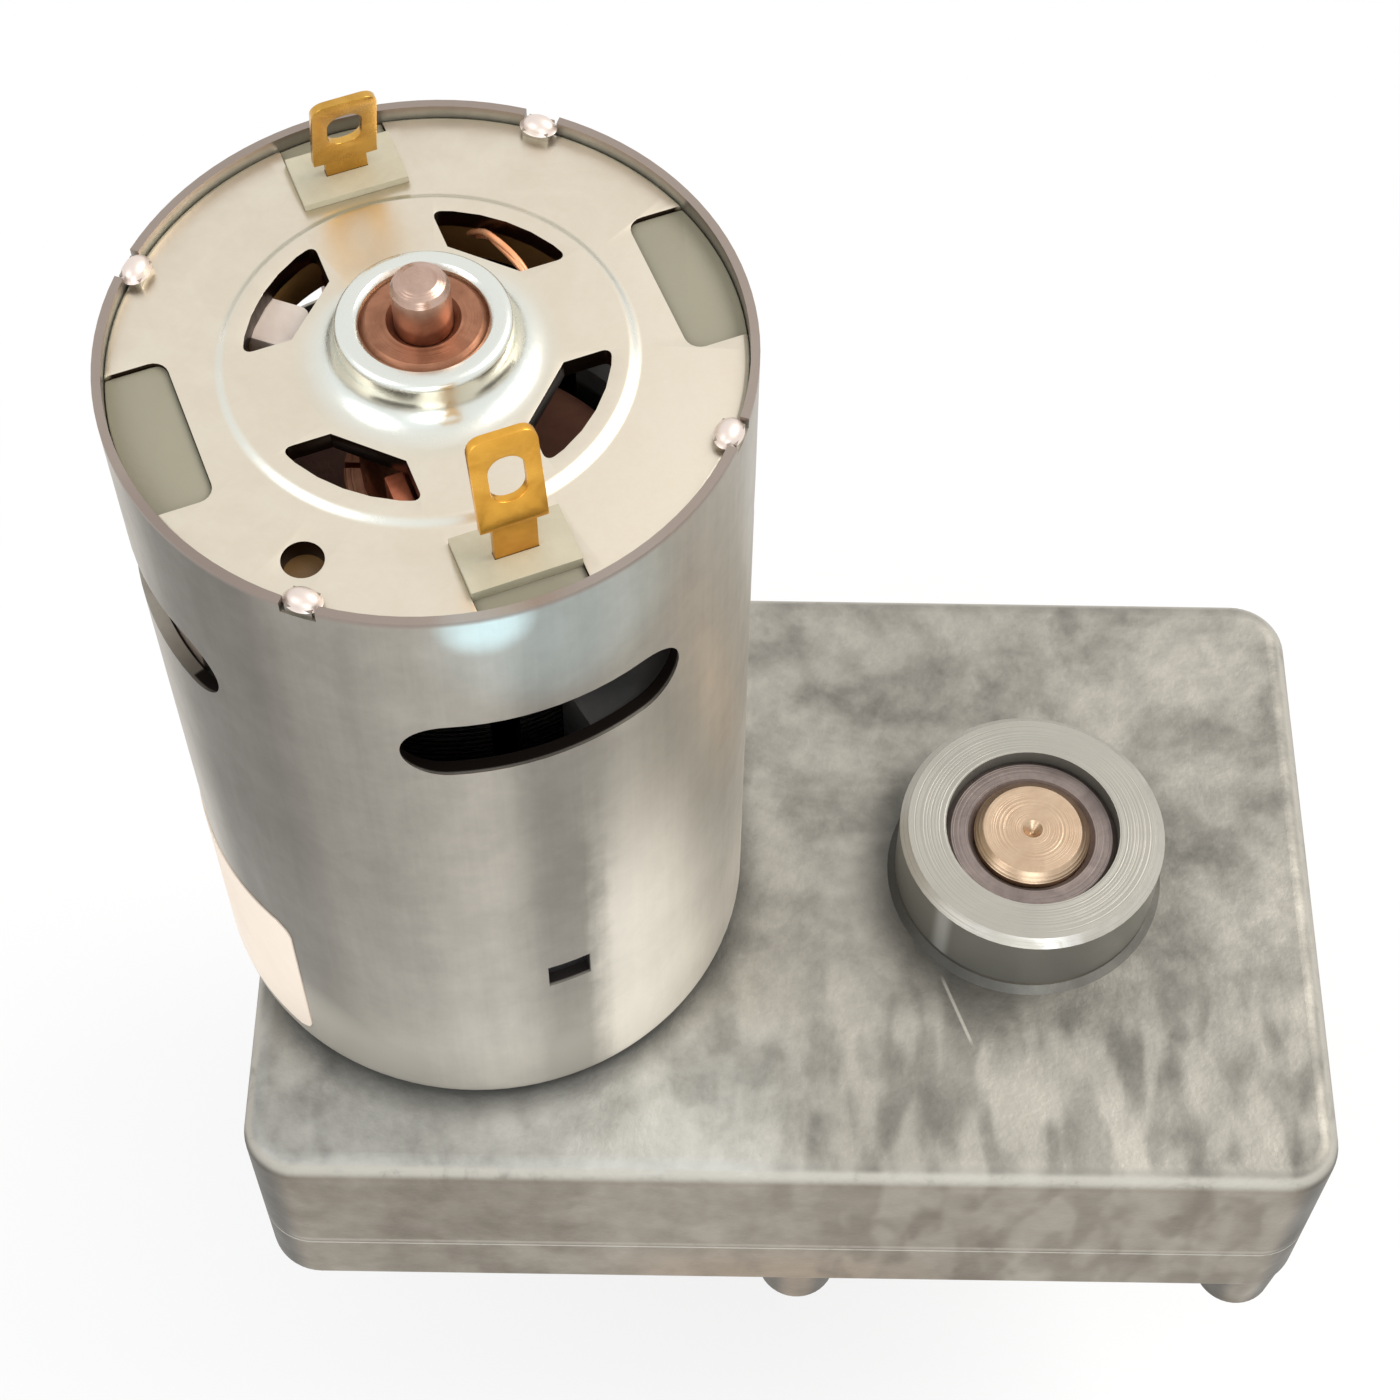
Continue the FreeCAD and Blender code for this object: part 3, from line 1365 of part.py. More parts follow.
def makeLabel():
    label = body("motor_label", motorX, "0", topFace, "(label_edge_angle - label_angle)")
    low = "(label_level + can_foot_round)"
    revolve(label, [
        ("can_radius", low),
        ("can_radius + label_thickness", low),
        ("can_radius + label_thickness", low + " + label_height"),
        ("can_radius", low + " + label_height"),
    ], "label_angle")
    finish("motor_label", label)


def checkDocument():
    for item in doc.Objects:
        if "Invalid" in item.State or "Error" in item.State:
            raise ValueError("%s failed: %s" % (item.Name, item.State))
    for name, item in parts.items():
        if item.Shape.isNull() or not item.Shape.isValid():
            raise ValueError(name + ": no valid shape")


makeHousing()
makeCover()
makeScrews()
makeBushings()
makeGears()
makeAxles()
makeGearWashers()
makeOutputShaft()
makeCan()
makeEndPlate()
makeCarrier()
makeTerminal("terminal_front", "terminal_angle", "front_neck_height")
makeTerminal("terminal_rear", "terminal_angle + 180", "rear_neck_height")
makeBrushes()
makeMagnets()
makeArmature()
makeLabel()
doc.recompute()
checkDocument()

os.makedirs("parts", exist_ok=True)
for name, item in parts.items():
    item.Shape.exportStep("parts/%s.step" % name)
print("%d parts written" % len(parts))
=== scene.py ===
import json
import math
import bmesh
import bpy
from mathutils import Matrix, Vector


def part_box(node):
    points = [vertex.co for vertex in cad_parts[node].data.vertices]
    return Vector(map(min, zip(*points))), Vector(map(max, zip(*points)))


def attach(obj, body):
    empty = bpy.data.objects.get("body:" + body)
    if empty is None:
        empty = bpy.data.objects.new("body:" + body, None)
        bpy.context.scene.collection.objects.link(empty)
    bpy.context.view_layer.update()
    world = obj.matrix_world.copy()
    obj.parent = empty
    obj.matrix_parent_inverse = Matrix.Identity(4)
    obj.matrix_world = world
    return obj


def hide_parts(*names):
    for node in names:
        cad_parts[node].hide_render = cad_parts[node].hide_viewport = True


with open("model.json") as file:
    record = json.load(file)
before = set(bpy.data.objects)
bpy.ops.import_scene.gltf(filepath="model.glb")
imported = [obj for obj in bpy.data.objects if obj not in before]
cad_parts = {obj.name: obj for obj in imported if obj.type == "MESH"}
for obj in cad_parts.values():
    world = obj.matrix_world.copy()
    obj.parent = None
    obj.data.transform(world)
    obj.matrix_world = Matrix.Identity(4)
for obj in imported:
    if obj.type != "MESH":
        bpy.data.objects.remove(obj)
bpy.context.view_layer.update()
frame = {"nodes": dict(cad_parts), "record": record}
nodes = frame["nodes"]
mm = 0.001

# places that several pieces share, read from the frame
sizesOf = {name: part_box(name) for name in nodes}
canLow, canHigh = sizesOf["motor_can"]
plateLow, plateHigh = sizesOf["motor_end_plate"]
labelLow, labelHigh = sizesOf["motor_label"]
motorX = (sizesOf["motor_shaft"][0].x + sizesOf["motor_shaft"][1].x) / 2
motorAxis = Vector((motorX, 0, 0))
canRadius = (canHigh.y - canLow.y) / 2
canTop = canHigh.z
bossTop = sizesOf["gearbox_housing"][1].z
bossRadius = 9.15 * mm
bossHeight = 6.5 * mm
topFace = bossTop - bossHeight
seamLevel = sizesOf["gearbox_cover"][1].z
shaftTip = sizesOf["output_shaft"][0].z
closeTo = 0.01 * mm    # points nearer than this count as one place


# node helpers

def setInput(tree, socket, value):
    # a socket is linked, and anything else is set; colours are written without their alpha
    if isinstance(value, bpy.types.NodeSocket):
        tree.links.new(value, socket)
    else:
        socket.default_value = (*value, 1) if socket.type == "RGBA" else value


def addNode(tree, kind, inputs=None, **settings):
    made = tree.nodes.new(kind)
    for name, value in settings.items():
        setattr(made, name, value)
    for name, value in (inputs or {}).items():
        setInput(tree, made.inputs[name], value)
    return made


def calc(tree, operation, *values, clamp=False):
    return addNode(tree, "ShaderNodeMath", dict(enumerate(values)), operation=operation,
                   use_clamp=clamp).outputs[0]


def times(tree, *values):
    total = values[0]
    for value in values[1:]:
        total = calc(tree, "MULTIPLY", total, value)
    return total


def mulAdd(tree, value, factor, added):
    return calc(tree, "MULTIPLY_ADD", value, factor, added)


def larger(tree, a, b):
    return calc(tree, "MAXIMUM", a, b)


def gapTo(tree, value, place):
    # how far a value lies from a place, on either side
    return calc(tree, "ABSOLUTE", calc(tree, "SUBTRACT", value, place))


def step(tree, value, low, high):
    # 0 at low, 1 at high, smooth between; low may be the larger
    return addNode(tree, "ShaderNodeMapRange", {"Value": value, "From Min": low, "From Max": high},
                   interpolation_type="SMOOTHSTEP").outputs["Result"]


def spread(tree, mask, atNone, atFull, lowest=0.0):
    # turns a mask into a value between two others
    return addNode(tree, "ShaderNodeMapRange", {
        "Value": mask, "From Min": lowest, "To Min": atNone, "To Max": atFull}).outputs["Result"]


def mixColour(tree, factor, a, b):
    return addNode(tree, "ShaderNodeMix", {0: factor, 6: a, 7: b}, data_type="RGBA").outputs[2]


def splitAxes(tree, vector):
    return tuple(addNode(tree, "ShaderNodeSeparateXYZ", {"Vector": vector}).outputs)


def vectorMath(tree, operation, *vectors):
    return addNode(tree, "ShaderNodeVectorMath", dict(enumerate(vectors)), operation=operation).outputs


# node groups: effects that more than one finish uses

def newGroup(name, inputs, outputs):
    group = bpy.data.node_groups.new(name, "ShaderNodeTree")
    for label, value in inputs.items():
        kind = "NodeSocketVector" if isinstance(value, tuple) else "NodeSocketFloat"
        socket = group.interface.new_socket(name=label, in_out="INPUT", socket_type=kind)
        socket.default_value = value
    for label in outputs:
        group.interface.new_socket(name=label, in_out="OUTPUT", socket_type="NodeSocketFloat")
    start, end = group.nodes.new("NodeGroupInput"), group.nodes.new("NodeGroupOutput")
    return group, start.outputs, end.inputs


def useGroup(tree, name, **inputs):
    return addNode(tree, "ShaderNodeGroup", inputs, node_tree=bpy.data.node_groups[name]).outputs


def noiseIn(group, given, size, detail, roughness, warp=0.0):
    # a noise on the group's place, stretched as asked
    place = vectorMath(group, "MULTIPLY", given["Place"], given["Stretch"])[0]
    return addNode(group, "ShaderNodeTexNoise", {
        "Vector": place, "Scale": size, "Detail": detail, "Roughness": roughness,
        "Distortion": warp}).outputs["Fac"]


cloudInputs = {"Place": (0, 0, 0), "Stretch": (1, 1, 1), "Size": 100.0, "Warp": 1.0, "Low": 0.35, "High": 0.65}


def makeMottle():
    # soft cloudy patches over smaller ones, as on tumbled or plated metal
    group, given, made = newGroup("mottle", cloudInputs, ["Mask"])
    large = noiseIn(group, given, given["Size"], 5.0, 0.62, given["Warp"])
    small = noiseIn(group, given, times(group, given["Size"], 3.7), 4.0, 0.6, 0.4)
    total = mulAdd(group, small, 0.28, times(group, large, 0.72))
    group.links.new(step(group, total, given["Low"], given["High"]), made["Mask"])


def makePatches():
    # soft-edged patches without fine detail, like washes of paint
    group, given, made = newGroup("patches", cloudInputs, ["Mask"])
    noise = noiseIn(group, given, given["Size"], 1.6, 0.5, given["Warp"])
    group.links.new(step(group, noise, given["Low"], given["High"]), made["Mask"])


def makeGrain():
    # fine tooth of a surface, for a bump's height
    group, given, made = newGroup("grain", {"Place": (0, 0, 0), "Stretch": (1, 1, 1), "Size": 4000.0},
                                  ["Height"])
    group.links.new(noiseIn(group, given, given["Size"], 3.0, 0.55), made["Height"])


def makeSlantMask():
    # 1 where the surface slants between level and upright, as on a rounded edge
    group, given, made = newGroup("slantedEdge", {"Facing": (0, 0, 1), "Low": 0.2, "High": 0.92}, ["Mask"])
    rise = calc(group, "ABSOLUTE", splitAxes(group, given["Facing"])[2])
    notUpright = step(group, rise, given["Low"], 0.6)
    notLevel = step(group, rise, given["High"], 0.75)
    group.links.new(times(group, notUpright, notLevel), made["Mask"])


def makeTurned():
    # distance from an upright axis, and the fine rings that a lathe leaves round it
    group, given, made = newGroup("turned", {"Place": (0, 0, 0), "Centre": 0.0, "Pitch": 0.2 * mm},
                                  ["Radius", "Rings"])
    x, y = splitAxes(group, given["Place"])[:2]
    flat = addNode(group, "ShaderNodeCombineXYZ", {
        "X": calc(group, "SUBTRACT", x, given["Centre"]), "Y": y, "Z": 0.0})
    radius = vectorMath(group, "LENGTH", flat.outputs[0])["Value"]
    rings = addNode(group, "ShaderNodeTexNoise", {
        "Scale": 1.0, "Detail": 2.0}, noise_dimensions="1D")
    group.links.new(calc(group, "DIVIDE", radius, given["Pitch"]), rings.inputs["W"])
    group.links.new(radius, made["Radius"])
    group.links.new(rings.outputs["Fac"], made["Rings"])


for makeGroup in (makeMottle, makePatches, makeGrain, makeSlantMask, makeTurned):
    makeGroup()
print("node groups made")


# materials

def newMaterial(name, metallic=0.0):
    material = bpy.data.materials.new(name)
    material.use_nodes = True
    shader = material.node_tree.nodes["Principled BSDF"]
    shader.inputs["Metallic"].default_value = metallic
    return material, material.node_tree, shader


def objectPlace(tree):
    return addNode(tree, "ShaderNodeTexCoord").outputs["Object"]


def surfaceFacing(tree):
    return addNode(tree, "ShaderNodeTexCoord").outputs["Normal"]


def setSurface(tree, shader, colour, rough, height, depth):
    # what every finish ends with
    bump = addNode(tree, "ShaderNodeBump", {"Height": height, "Distance": depth, "Strength": 1.0})
    for label, made in (("Base Color", colour), ("Roughness", rough), ("Normal", bump.outputs["Normal"])):
        tree.links.new(made, shader.inputs[label])


def cloudMask(tree, place, group, size, low=0.3, high=0.7, warp=1.0, stretch=(1, 1, 1)):
    return useGroup(tree, group, Place=place, Size=size, Low=low, High=high, Warp=warp,
                    Stretch=stretch)["Mask"]


def layeredTone(tree, place, layers):
    # the sum of cloudy layers by their shares, and the mask of each
    masks = [cloudMask(tree, place, *layer) for share, layer in layers]
    total = 0.0
    for mask, (share, layer) in zip(masks, layers):
        total = mulAdd(tree, mask, share, total)
    return total, masks


def grainHeight(tree, place, size, stretch=(1, 1, 1)):
    return useGroup(tree, "grain", Place=place, Size=size, Stretch=stretch)["Height"]


casting = {
    "metallic": 0.62, "roughLow": 0.42, "roughHigh": 0.56, "grain": 2600.0, "relief": 0.03 * mm,
    # besides the cast tone, several colours paint light: a pale reflection, a warm reflection, a darker wall
    # colour for shade, a near-black colour for shadow, and highlights for the edges, where the halves meet,
    # the boss and its glints
    "dark": (0.118, 0.112, 0.098), "light": (0.475, 0.448, 0.392), "wearAndHighlight": (0.45, 0.425, 0.375),
    "machined": (0.35, 0.337, 0.295), "bossWallShade": (0.23, 0.222, 0.195), "seamHighlight": (0.44, 0.40, 0.345),
    "scratch": (0.56, 0.53, 0.47), "warm": (0.40, 0.265, 0.155), "pale": (0.60, 0.61, 0.58),
    "glint": (0.95, 0.95, 0.92), "wall": (0.24, 0.182, 0.120), "paintedShade": (0.070, 0.068, 0.060),
    # share in the tone, then the group, size, low, high and warp of each cloudy layer
    "layers": ((0.44, ("mottle", 62.0, 0.36, 0.64, 0.6)), (0.27, ("patches", 150.0, 0.36, 0.64, 0.5)),
               (0.14, ("patches", 420.0, 0.36, 0.64, 0.4)), (0.15, ("mottle", 900.0, 0.3, 0.7, 0.3))),
    "streaks": ("patches", 430.0, 0.37, 0.63, 0.35, (1.0, 0.34, 0.40)),
    "chips": ("mottle", 420.0, 0.26, 0.52), "nicks": ("patches", 240.0, 0.46, 0.66, 0.3),
    "scratchFrom": (-6.2 * mm, -8.0 * mm), "scratchTo": (-4.0 * mm, -13.8 * mm), "scratchWidth": 0.16 * mm,
    "ringPitch": 0.18 * mm, "warmReflectionX": -17 * mm, "wallGlintX": -6.3 * mm,
    # how strongly each mark shows
    "wallShadeShare": 0.46, "warmReflectionShare": 0.55, "canShadowShare": 0.55, "cornerShadeShare": 0.75, "nickShare": 0.6,
    "wallGlintShare": 0.35, "bossToneShare": 0.6, "scratchShare": 0.7,
    # the same where it grows with another mask: the growth, and what there is without it
    "streakShare": (0.30, 0.125), "wearAndReflectionShare": (0.6, 0.15), "seamHighlightShare": (0.5, 0.08),
    "bossShadowLeftShare": 0.50, "bossShadowShare": (0.35, 0.25),
    "bossSmooth": -0.10, "wornRough": 0.10, "blotchRelief": 0.8,
}

# where each mark on the casting fades in: none at the first value, full at the second
castingFades = {
    "levelFace": (0.5, 0.9), "uprightFace": (0.7, 0.2),
    "streakFront": (-4 * mm, -14 * mm), "streakRight": (-24 * mm, -8 * mm),
    "wearAndReflectionFront": (-9 * mm, -18 * mm), "wearAndReflectionLeft": (-12 * mm, -23 * mm),
    "outsideBoss": (bossRadius + 0.7 * mm, bossRadius + 1.2 * mm), "seamHighlightLine": (0.30 * mm, 0.12 * mm),
    "warmReflectionLow": (14 * mm, 6 * mm), "warmReflectionWidth": (16 * mm, 2 * mm),
    "bossShadowReach": (bossRadius + 3.4 * mm, bossRadius + 0.2 * mm), "bossShadowLeft": (4 * mm, -9 * mm),
    "bossShadowTop": (topFace + 1.2 * mm, topFace + 0.8 * mm),
    "bossShadowBottom": (topFace - 1.0 * mm, topFace - 0.5 * mm),
    "cornerShadeAcross": (0.12, 0.55), "cornerShadeAhead": (0.02, 0.25),
    "canShadow": (canRadius + 2.2 * mm, canRadius + 0.1 * mm),
    "insideBoss": (bossRadius + 0.25 * mm, bossRadius + 0.05 * mm),
    "aboveFoot": (topFace + 0.7 * mm, topFace + 1.0 * mm), "bossTopFace": (0.25, 0.6),
    "lip": (bossTop - 1.2 * mm, bossTop - 0.9 * mm), "frontRight": (0.0, -9 * mm),
    "wallGlint": (0.7 * mm, 0.1 * mm), "wallGlintFront": (0.0, -2 * mm),
}


def lineMask(tree, place, start, end, width):
    # 1 along a line across a level face, fading out at its ends
    run = Vector(end) - Vector(start)
    along, across = run.normalized(), Vector((-run.y, run.x)).normalized()
    moved = vectorMath(tree, "SUBTRACT", place, (*start, 0))[0]
    ahead, aside = (vectorMath(tree, "DOT_PRODUCT", moved, (*axis, 0))["Value"] for axis in (along, across))
    beside = step(tree, calc(tree, "ABSOLUTE", aside), width, width * 0.3)
    inside = step(tree, gapTo(tree, ahead, run.length / 2), run.length / 2, run.length * 0.3)
    return times(tree, beside, inside)


def makeCasting():
    material, tree, shader = newMaterial("castAlloy", casting["metallic"])
    place, facing = objectPlace(tree), surfaceFacing(tree)
    x, y, z = splitAxes(tree, place)
    faceX, faceY, up = splitAxes(tree, facing)

    def fade(value, name):
        return step(tree, value, *castingFades[name])

    def grow(mask, name):
        return mulAdd(tree, mask, *casting[name])

    def amount(value):
        return calc(tree, "ABSOLUTE", value)

    tone, masks = layeredTone(tree, place, casting["layers"])
    # streaks lie on the front part of the top and on the front wall
    streaky = times(tree, fade(y, "streakFront"), grow(fade(x, "streakRight"), "streakShare"))
    streaks = cloudMask(tree, place, *casting["streaks"])
    tone = addNode(tree, "ShaderNodeMix", {0: streaky, 2: tone, 3: streaks}).outputs[0]
    level, upright = fade(up, "levelFace"), fade(amount(up), "uprightFace")
    edge = useGroup(tree, "slantedEdge", Facing=facing)["Mask"]
    chips = cloudMask(tree, place, *casting["chips"])
    turned = useGroup(tree, "turned", Place=place, Pitch=casting["ringPitch"])
    radius = turned["Radius"]
    fromMotor = useGroup(tree, "turned", Place=place, Centre=motorX)["Radius"]

    # paler in front of the motor: partly wear from hands and cloths, partly a painted reflection of the can
    wearAndReflection = times(tree, fade(y, "wearAndReflectionFront"), fade(x, "wearAndReflectionLeft"), level, grow(tone, "wearAndReflectionShare"))
    # lighter on the rounded edges: partly wear, partly a painted highlight
    edgeWearAndHighlight = times(tree, edge, chips, fade(radius, "outsideBoss"))
    # a fine painted highlight along the step where the two halves of the case meet, broken by small nicks
    seamHighlight = times(tree, fade(gapTo(tree, z, seamLevel), "seamHighlightLine"), grow(chips, "seamHighlightShare"))
    # a painted warm reflection low on the front wall
    warmReflection = times(tree, fade(z, "warmReflectionLow"), fade(gapTo(tree, x, casting["warmReflectionX"]), "warmReflectionWidth"),
                  casting["warmReflectionShare"], tone)
    # painted shadow at the foot of the boss, most on its left, and round the can, and painted dark reflections
    # on the case's upright corners
    foot = times(tree, fade(radius, "bossShadowReach"), fade(z, "bossShadowTop"), fade(z, "bossShadowBottom"))
    strength = mulAdd(tree, fade(x, "bossShadowLeft"), casting["bossShadowLeftShare"], grow(edge, "bossShadowShare"))
    foot = calc(tree, "MULTIPLY", foot, strength, clamp=True)
    corner = times(tree, upright, fade(amount(faceX), "cornerShadeAcross"), fade(amount(faceY), "cornerShadeAhead"),
                   casting["cornerShadeShare"])
    canShadow = times(tree, fade(fromMotor, "canShadow"), casting["canShadowShare"], level)
    paintedShade = larger(tree, larger(tree, foot, canShadow), corner)
    colour = mixColour(tree, tone, casting["dark"], casting["light"])
    # painted light goes over the cast tone here: a pale reflection, painted shade on the upright walls,
    # highlights on the edges and where the halves meet, a warm reflection and painted shadow
    for mask, name in ((wearAndReflection, "pale"), (times(tree, upright, casting["wallShadeShare"]), "wall"),
                       (edgeWearAndHighlight, "wearAndHighlight"), (seamHighlight, "seamHighlight"), (warmReflection, "warm"), (paintedShade, "paintedShade")):
        colour = mixColour(tree, mask, colour, casting[name])

    # the boss is turned after casting; its outer chamfer gets the brightest painted highlight, with short
    # painted glints, and its wall is painted darker as shade
    boss = times(tree, fade(radius, "insideBoss"), fade(z, "aboveFoot"))
    bossTopFace = fade(up, "bossTopFace")
    lip = times(tree, fade(z, "lip"), edge, chips)
    nicks = times(tree, cloudMask(tree, place, *casting["nicks"]), casting["nickShare"])
    lipGlints = times(tree, lip, nicks, fade(calc(tree, "SUBTRACT", y, x), "frontRight"))
    # and an upright glint on the left of its wall
    wallGlint = times(tree, fade(gapTo(tree, x, casting["wallGlintX"]), "wallGlint"),
                      fade(y, "wallGlintFront"), calc(tree, "SUBTRACT", 1.0, bossTopFace),
                      casting["wallGlintShare"])
    shade = mixColour(tree, times(tree, tone, casting["bossToneShare"]), casting["machined"], casting["light"])
    shade = mixColour(tree, bossTopFace, casting["bossWallShade"], shade)
    for mask, name in ((lip, "wearAndHighlight"), (lipGlints, "glint"), (wallGlint, "glint")):
        shade = mixColour(tree, mask, shade, casting[name])
    colour = mixColour(tree, boss, colour, shade)
    scratch = lineMask(tree, place, casting["scratchFrom"], casting["scratchTo"], casting["scratchWidth"])
    colour = mixColour(tree, times(tree, scratch, casting["scratchShare"]), colour, casting["scratch"])

    # smoother on the boss, rougher where the edges show wear
    rough = spread(tree, tone, casting["roughHigh"], casting["roughLow"])
    rough = mulAdd(tree, boss, casting["bossSmooth"], mulAdd(tree, edgeWearAndHighlight, casting["wornRough"], rough))
    tooth = times(tree, grainHeight(tree, place, casting["grain"]), calc(tree, "SUBTRACT", 1.0, boss))
    relief = mulAdd(tree, turned["Rings"], boss, mulAdd(tree, masks[1], casting["blotchRelief"], tooth))
    setSurface(tree, shader, colour, rough, relief, casting["relief"])
    return material


canFinish = {
    # inside is painted shade, and glint a painted highlight
    "light": (0.95, 0.885, 0.775), "dark": (0.034, 0.028, 0.019), "inside": (0.014, 0.010, 0.008),
    "rim": (0.32, 0.255, 0.22), "glint": (0.78, 0.98, 1.0),
    "metallic": 0.95, "roughDark": 0.48, "roughLight": 0.32, "innerRough": 0.3, "rimShare": 0.8,
    # share, then the group, size, low, high, warp and stretch of each cloudy layer
    "layers": ((0.20, ("mottle", 70.0, 0.3, 0.7, 0.5, (1, 1, 0.6))), (0.12, ("mottle", 330.0, 0.3, 0.7, 0.4)),
               (0.10, ("mottle", 700.0, 0.3, 0.7, 0.1, (1, 1, 0.04)))),
    "varyTone": (1.1, 0.77), "waver": 14.0,
    # angle round the can in degrees, and how light the painted reflection bands make the plating there
    "reflectionBands": ((-180, 0.44), (-155, 0.47), (-137, 0.155), (-122, 0.15), (-108, 0.30), (-80, 0.46), (-68, 0.25),
              (-61, 0.29), (-53, 0.42), (-30, 0.38), (-12, 0.44), (120, 0.36), (180, 0.44)),
    # a painted light side low on the right, a painted light foot and a duller lower half, with where each
    # fades in
    "flankReflectionLeft": (-61, -53), "flankReflectionRight": (-18, -50), "flankReflectionLow": (66 * mm, 42 * mm), "flankReflectionGain": 0.44,
    "footReflectionLow": (40 * mm, 30 * mm), "footReflectionGain": 0.13, "footReflectionLeast": 2.4, "dullLow": (58 * mm, 38 * mm),
    "dullShare": 0.55,
    # angle, height, half width, half height and strength of the painted cool highlights under the rim
    "glints": ((-77.0, 81.8 * mm, 3.0 * mm, 3.0 * mm, 0.95), (-64.0, 80.0 * mm, 8.5 * mm, 8.0 * mm, 0.24)),
    "slotEdge": (-138.8, -139.5),
    "insideShadeReach": (canRadius - 0.10 * mm, canRadius - 0.25 * mm),
    "cutDepth": (canRadius - 0.85 * mm, canRadius - 0.8 * mm),
    "insideShadeBelowRim": (canTop - 1.6 * mm, canTop - 2.2 * mm), "rimTop": (canTop - 0.5 * mm, canTop - 0.1 * mm),
}


def makeCanPlating():
    material, tree, shader = newMaterial("canPlating")
    place = objectPlace(tree)
    x, y, z = splitAxes(tree, place)
    degrees = times(tree, calc(tree, "ARCTAN2", y, calc(tree, "SUBTRACT", x, motorX)), 180 / math.pi)
    radius = useGroup(tree, "turned", Place=place, Centre=motorX)["Radius"]

    def fade(value, name):
        return step(tree, value, *canFinish[name])

    ramp = addNode(tree, "ShaderNodeValToRGB", {"Fac": mulAdd(tree, degrees, 1 / 360, 0.5)})
    ramp.color_ramp.interpolation = "EASE"
    marks = ramp.color_ramp.elements
    for number, (angle, tone) in enumerate(canFinish["reflectionBands"]):
        spot = (angle + 180) / 360
        mark = marks[number] if number < 2 else marks.new(spot)
        mark.position = spot
        mark.color = (tone, tone, tone, 1)
    varied = layeredTone(tree, place, canFinish["layers"])[0]
    tone = times(tree, ramp.outputs["Color"], mulAdd(tree, varied, *canFinish["varyTone"]))

    # painted reflections: lighter low on the right, up to a wavering border, and at the foot, where it mirrors
    # the gearbox
    wavering = mulAdd(tree, varied, canFinish["waver"], degrees)
    flankReflection = times(tree, fade(wavering, "flankReflectionLeft"), fade(degrees, "flankReflectionRight"), fade(z, "flankReflectionLow"))
    foot = times(tree, fade(z, "footReflectionLow"), canFinish["footReflectionGain"])
    tone = calc(tree, "ADD", larger(tree, tone, times(tree, foot, canFinish["footReflectionLeast"])), foot)
    tone = calc(tree, "ADD", tone, times(tree, flankReflection, canFinish["flankReflectionGain"]), clamp=True)
    colour = mixColour(tree, tone, canFinish["dark"], canFinish["light"])
    dull = times(tree, larger(tree, fade(z, "dullLow"), flankReflection), canFinish["dullShare"])
    tree.links.new(calc(tree, "SUBTRACT", canFinish["metallic"], dull), shader.inputs["Metallic"])
    for angle, height, wide, high, strength in canFinish["glints"]:
        aside = times(tree, calc(tree, "SUBTRACT", degrees, angle), math.radians(canRadius / wide))
        lift = calc(tree, "DIVIDE", calc(tree, "SUBTRACT", z, height), high)
        apart = mulAdd(tree, aside, aside, times(tree, lift, lift))
        glint = times(tree, step(tree, apart, 1.0, 0.0), mulAdd(tree, varied, strength, strength * 0.75))
        colour = mixColour(tree, glint, colour, canFinish["glint"])

    # painted shade inside the can, but the cut edge of the left slot is as light as the skin
    cutEdge = times(tree, fade(degrees, "slotEdge"), fade(radius, "cutDepth"))
    inner = times(tree, fade(radius, "insideShadeReach"), fade(z, "insideShadeBelowRim"), calc(tree, "SUBTRACT", 1.0, cutEdge))
    colour = mixColour(tree, inner, colour, canFinish["inside"])
    rimTop = times(tree, fade(z, "rimTop"), canFinish["rimShare"])
    colour = mixColour(tree, rimTop, colour, canFinish["rim"])
    rough = spread(tree, varied, canFinish["roughDark"], canFinish["roughLight"])
    setSurface(tree, shader, colour, mulAdd(tree, inner, canFinish["innerRough"], rough),
               grainHeight(tree, place, 1800.0, (1, 1, 0.2)), 0.01 * mm)
    return material


endFinish = {
    # flare is a painted cool highlight, and cut painted shade
    "light": (0.77, 0.700, 0.580), "dark": (0.69, 0.615, 0.495), "flare": (0.76, 0.82, 0.79),
    "cut": (0.05, 0.032, 0.022), "roughDark": 0.40, "roughLight": 0.30, "highlightSmooth": -0.12,
    "slantHighlightShare": 0.8, "bossHighlightShare": 0.7, "slant": {"Low": 0.02, "High": 0.995},
    "layers": ((0.7, ("mottle", 120.0)), (0.3, ("mottle", 700.0))),
    "bossHighlightReach": (7.4 * mm, 5.2 * mm), "outsideBore": (6.2 * mm, 6.6 * mm), "insideRim": (17.2 * mm, 16.9 * mm),
    "underside": (canTop - 1.7 * mm, canTop - 1.9 * mm), "uprightFace": (0.5, 0.2),
}


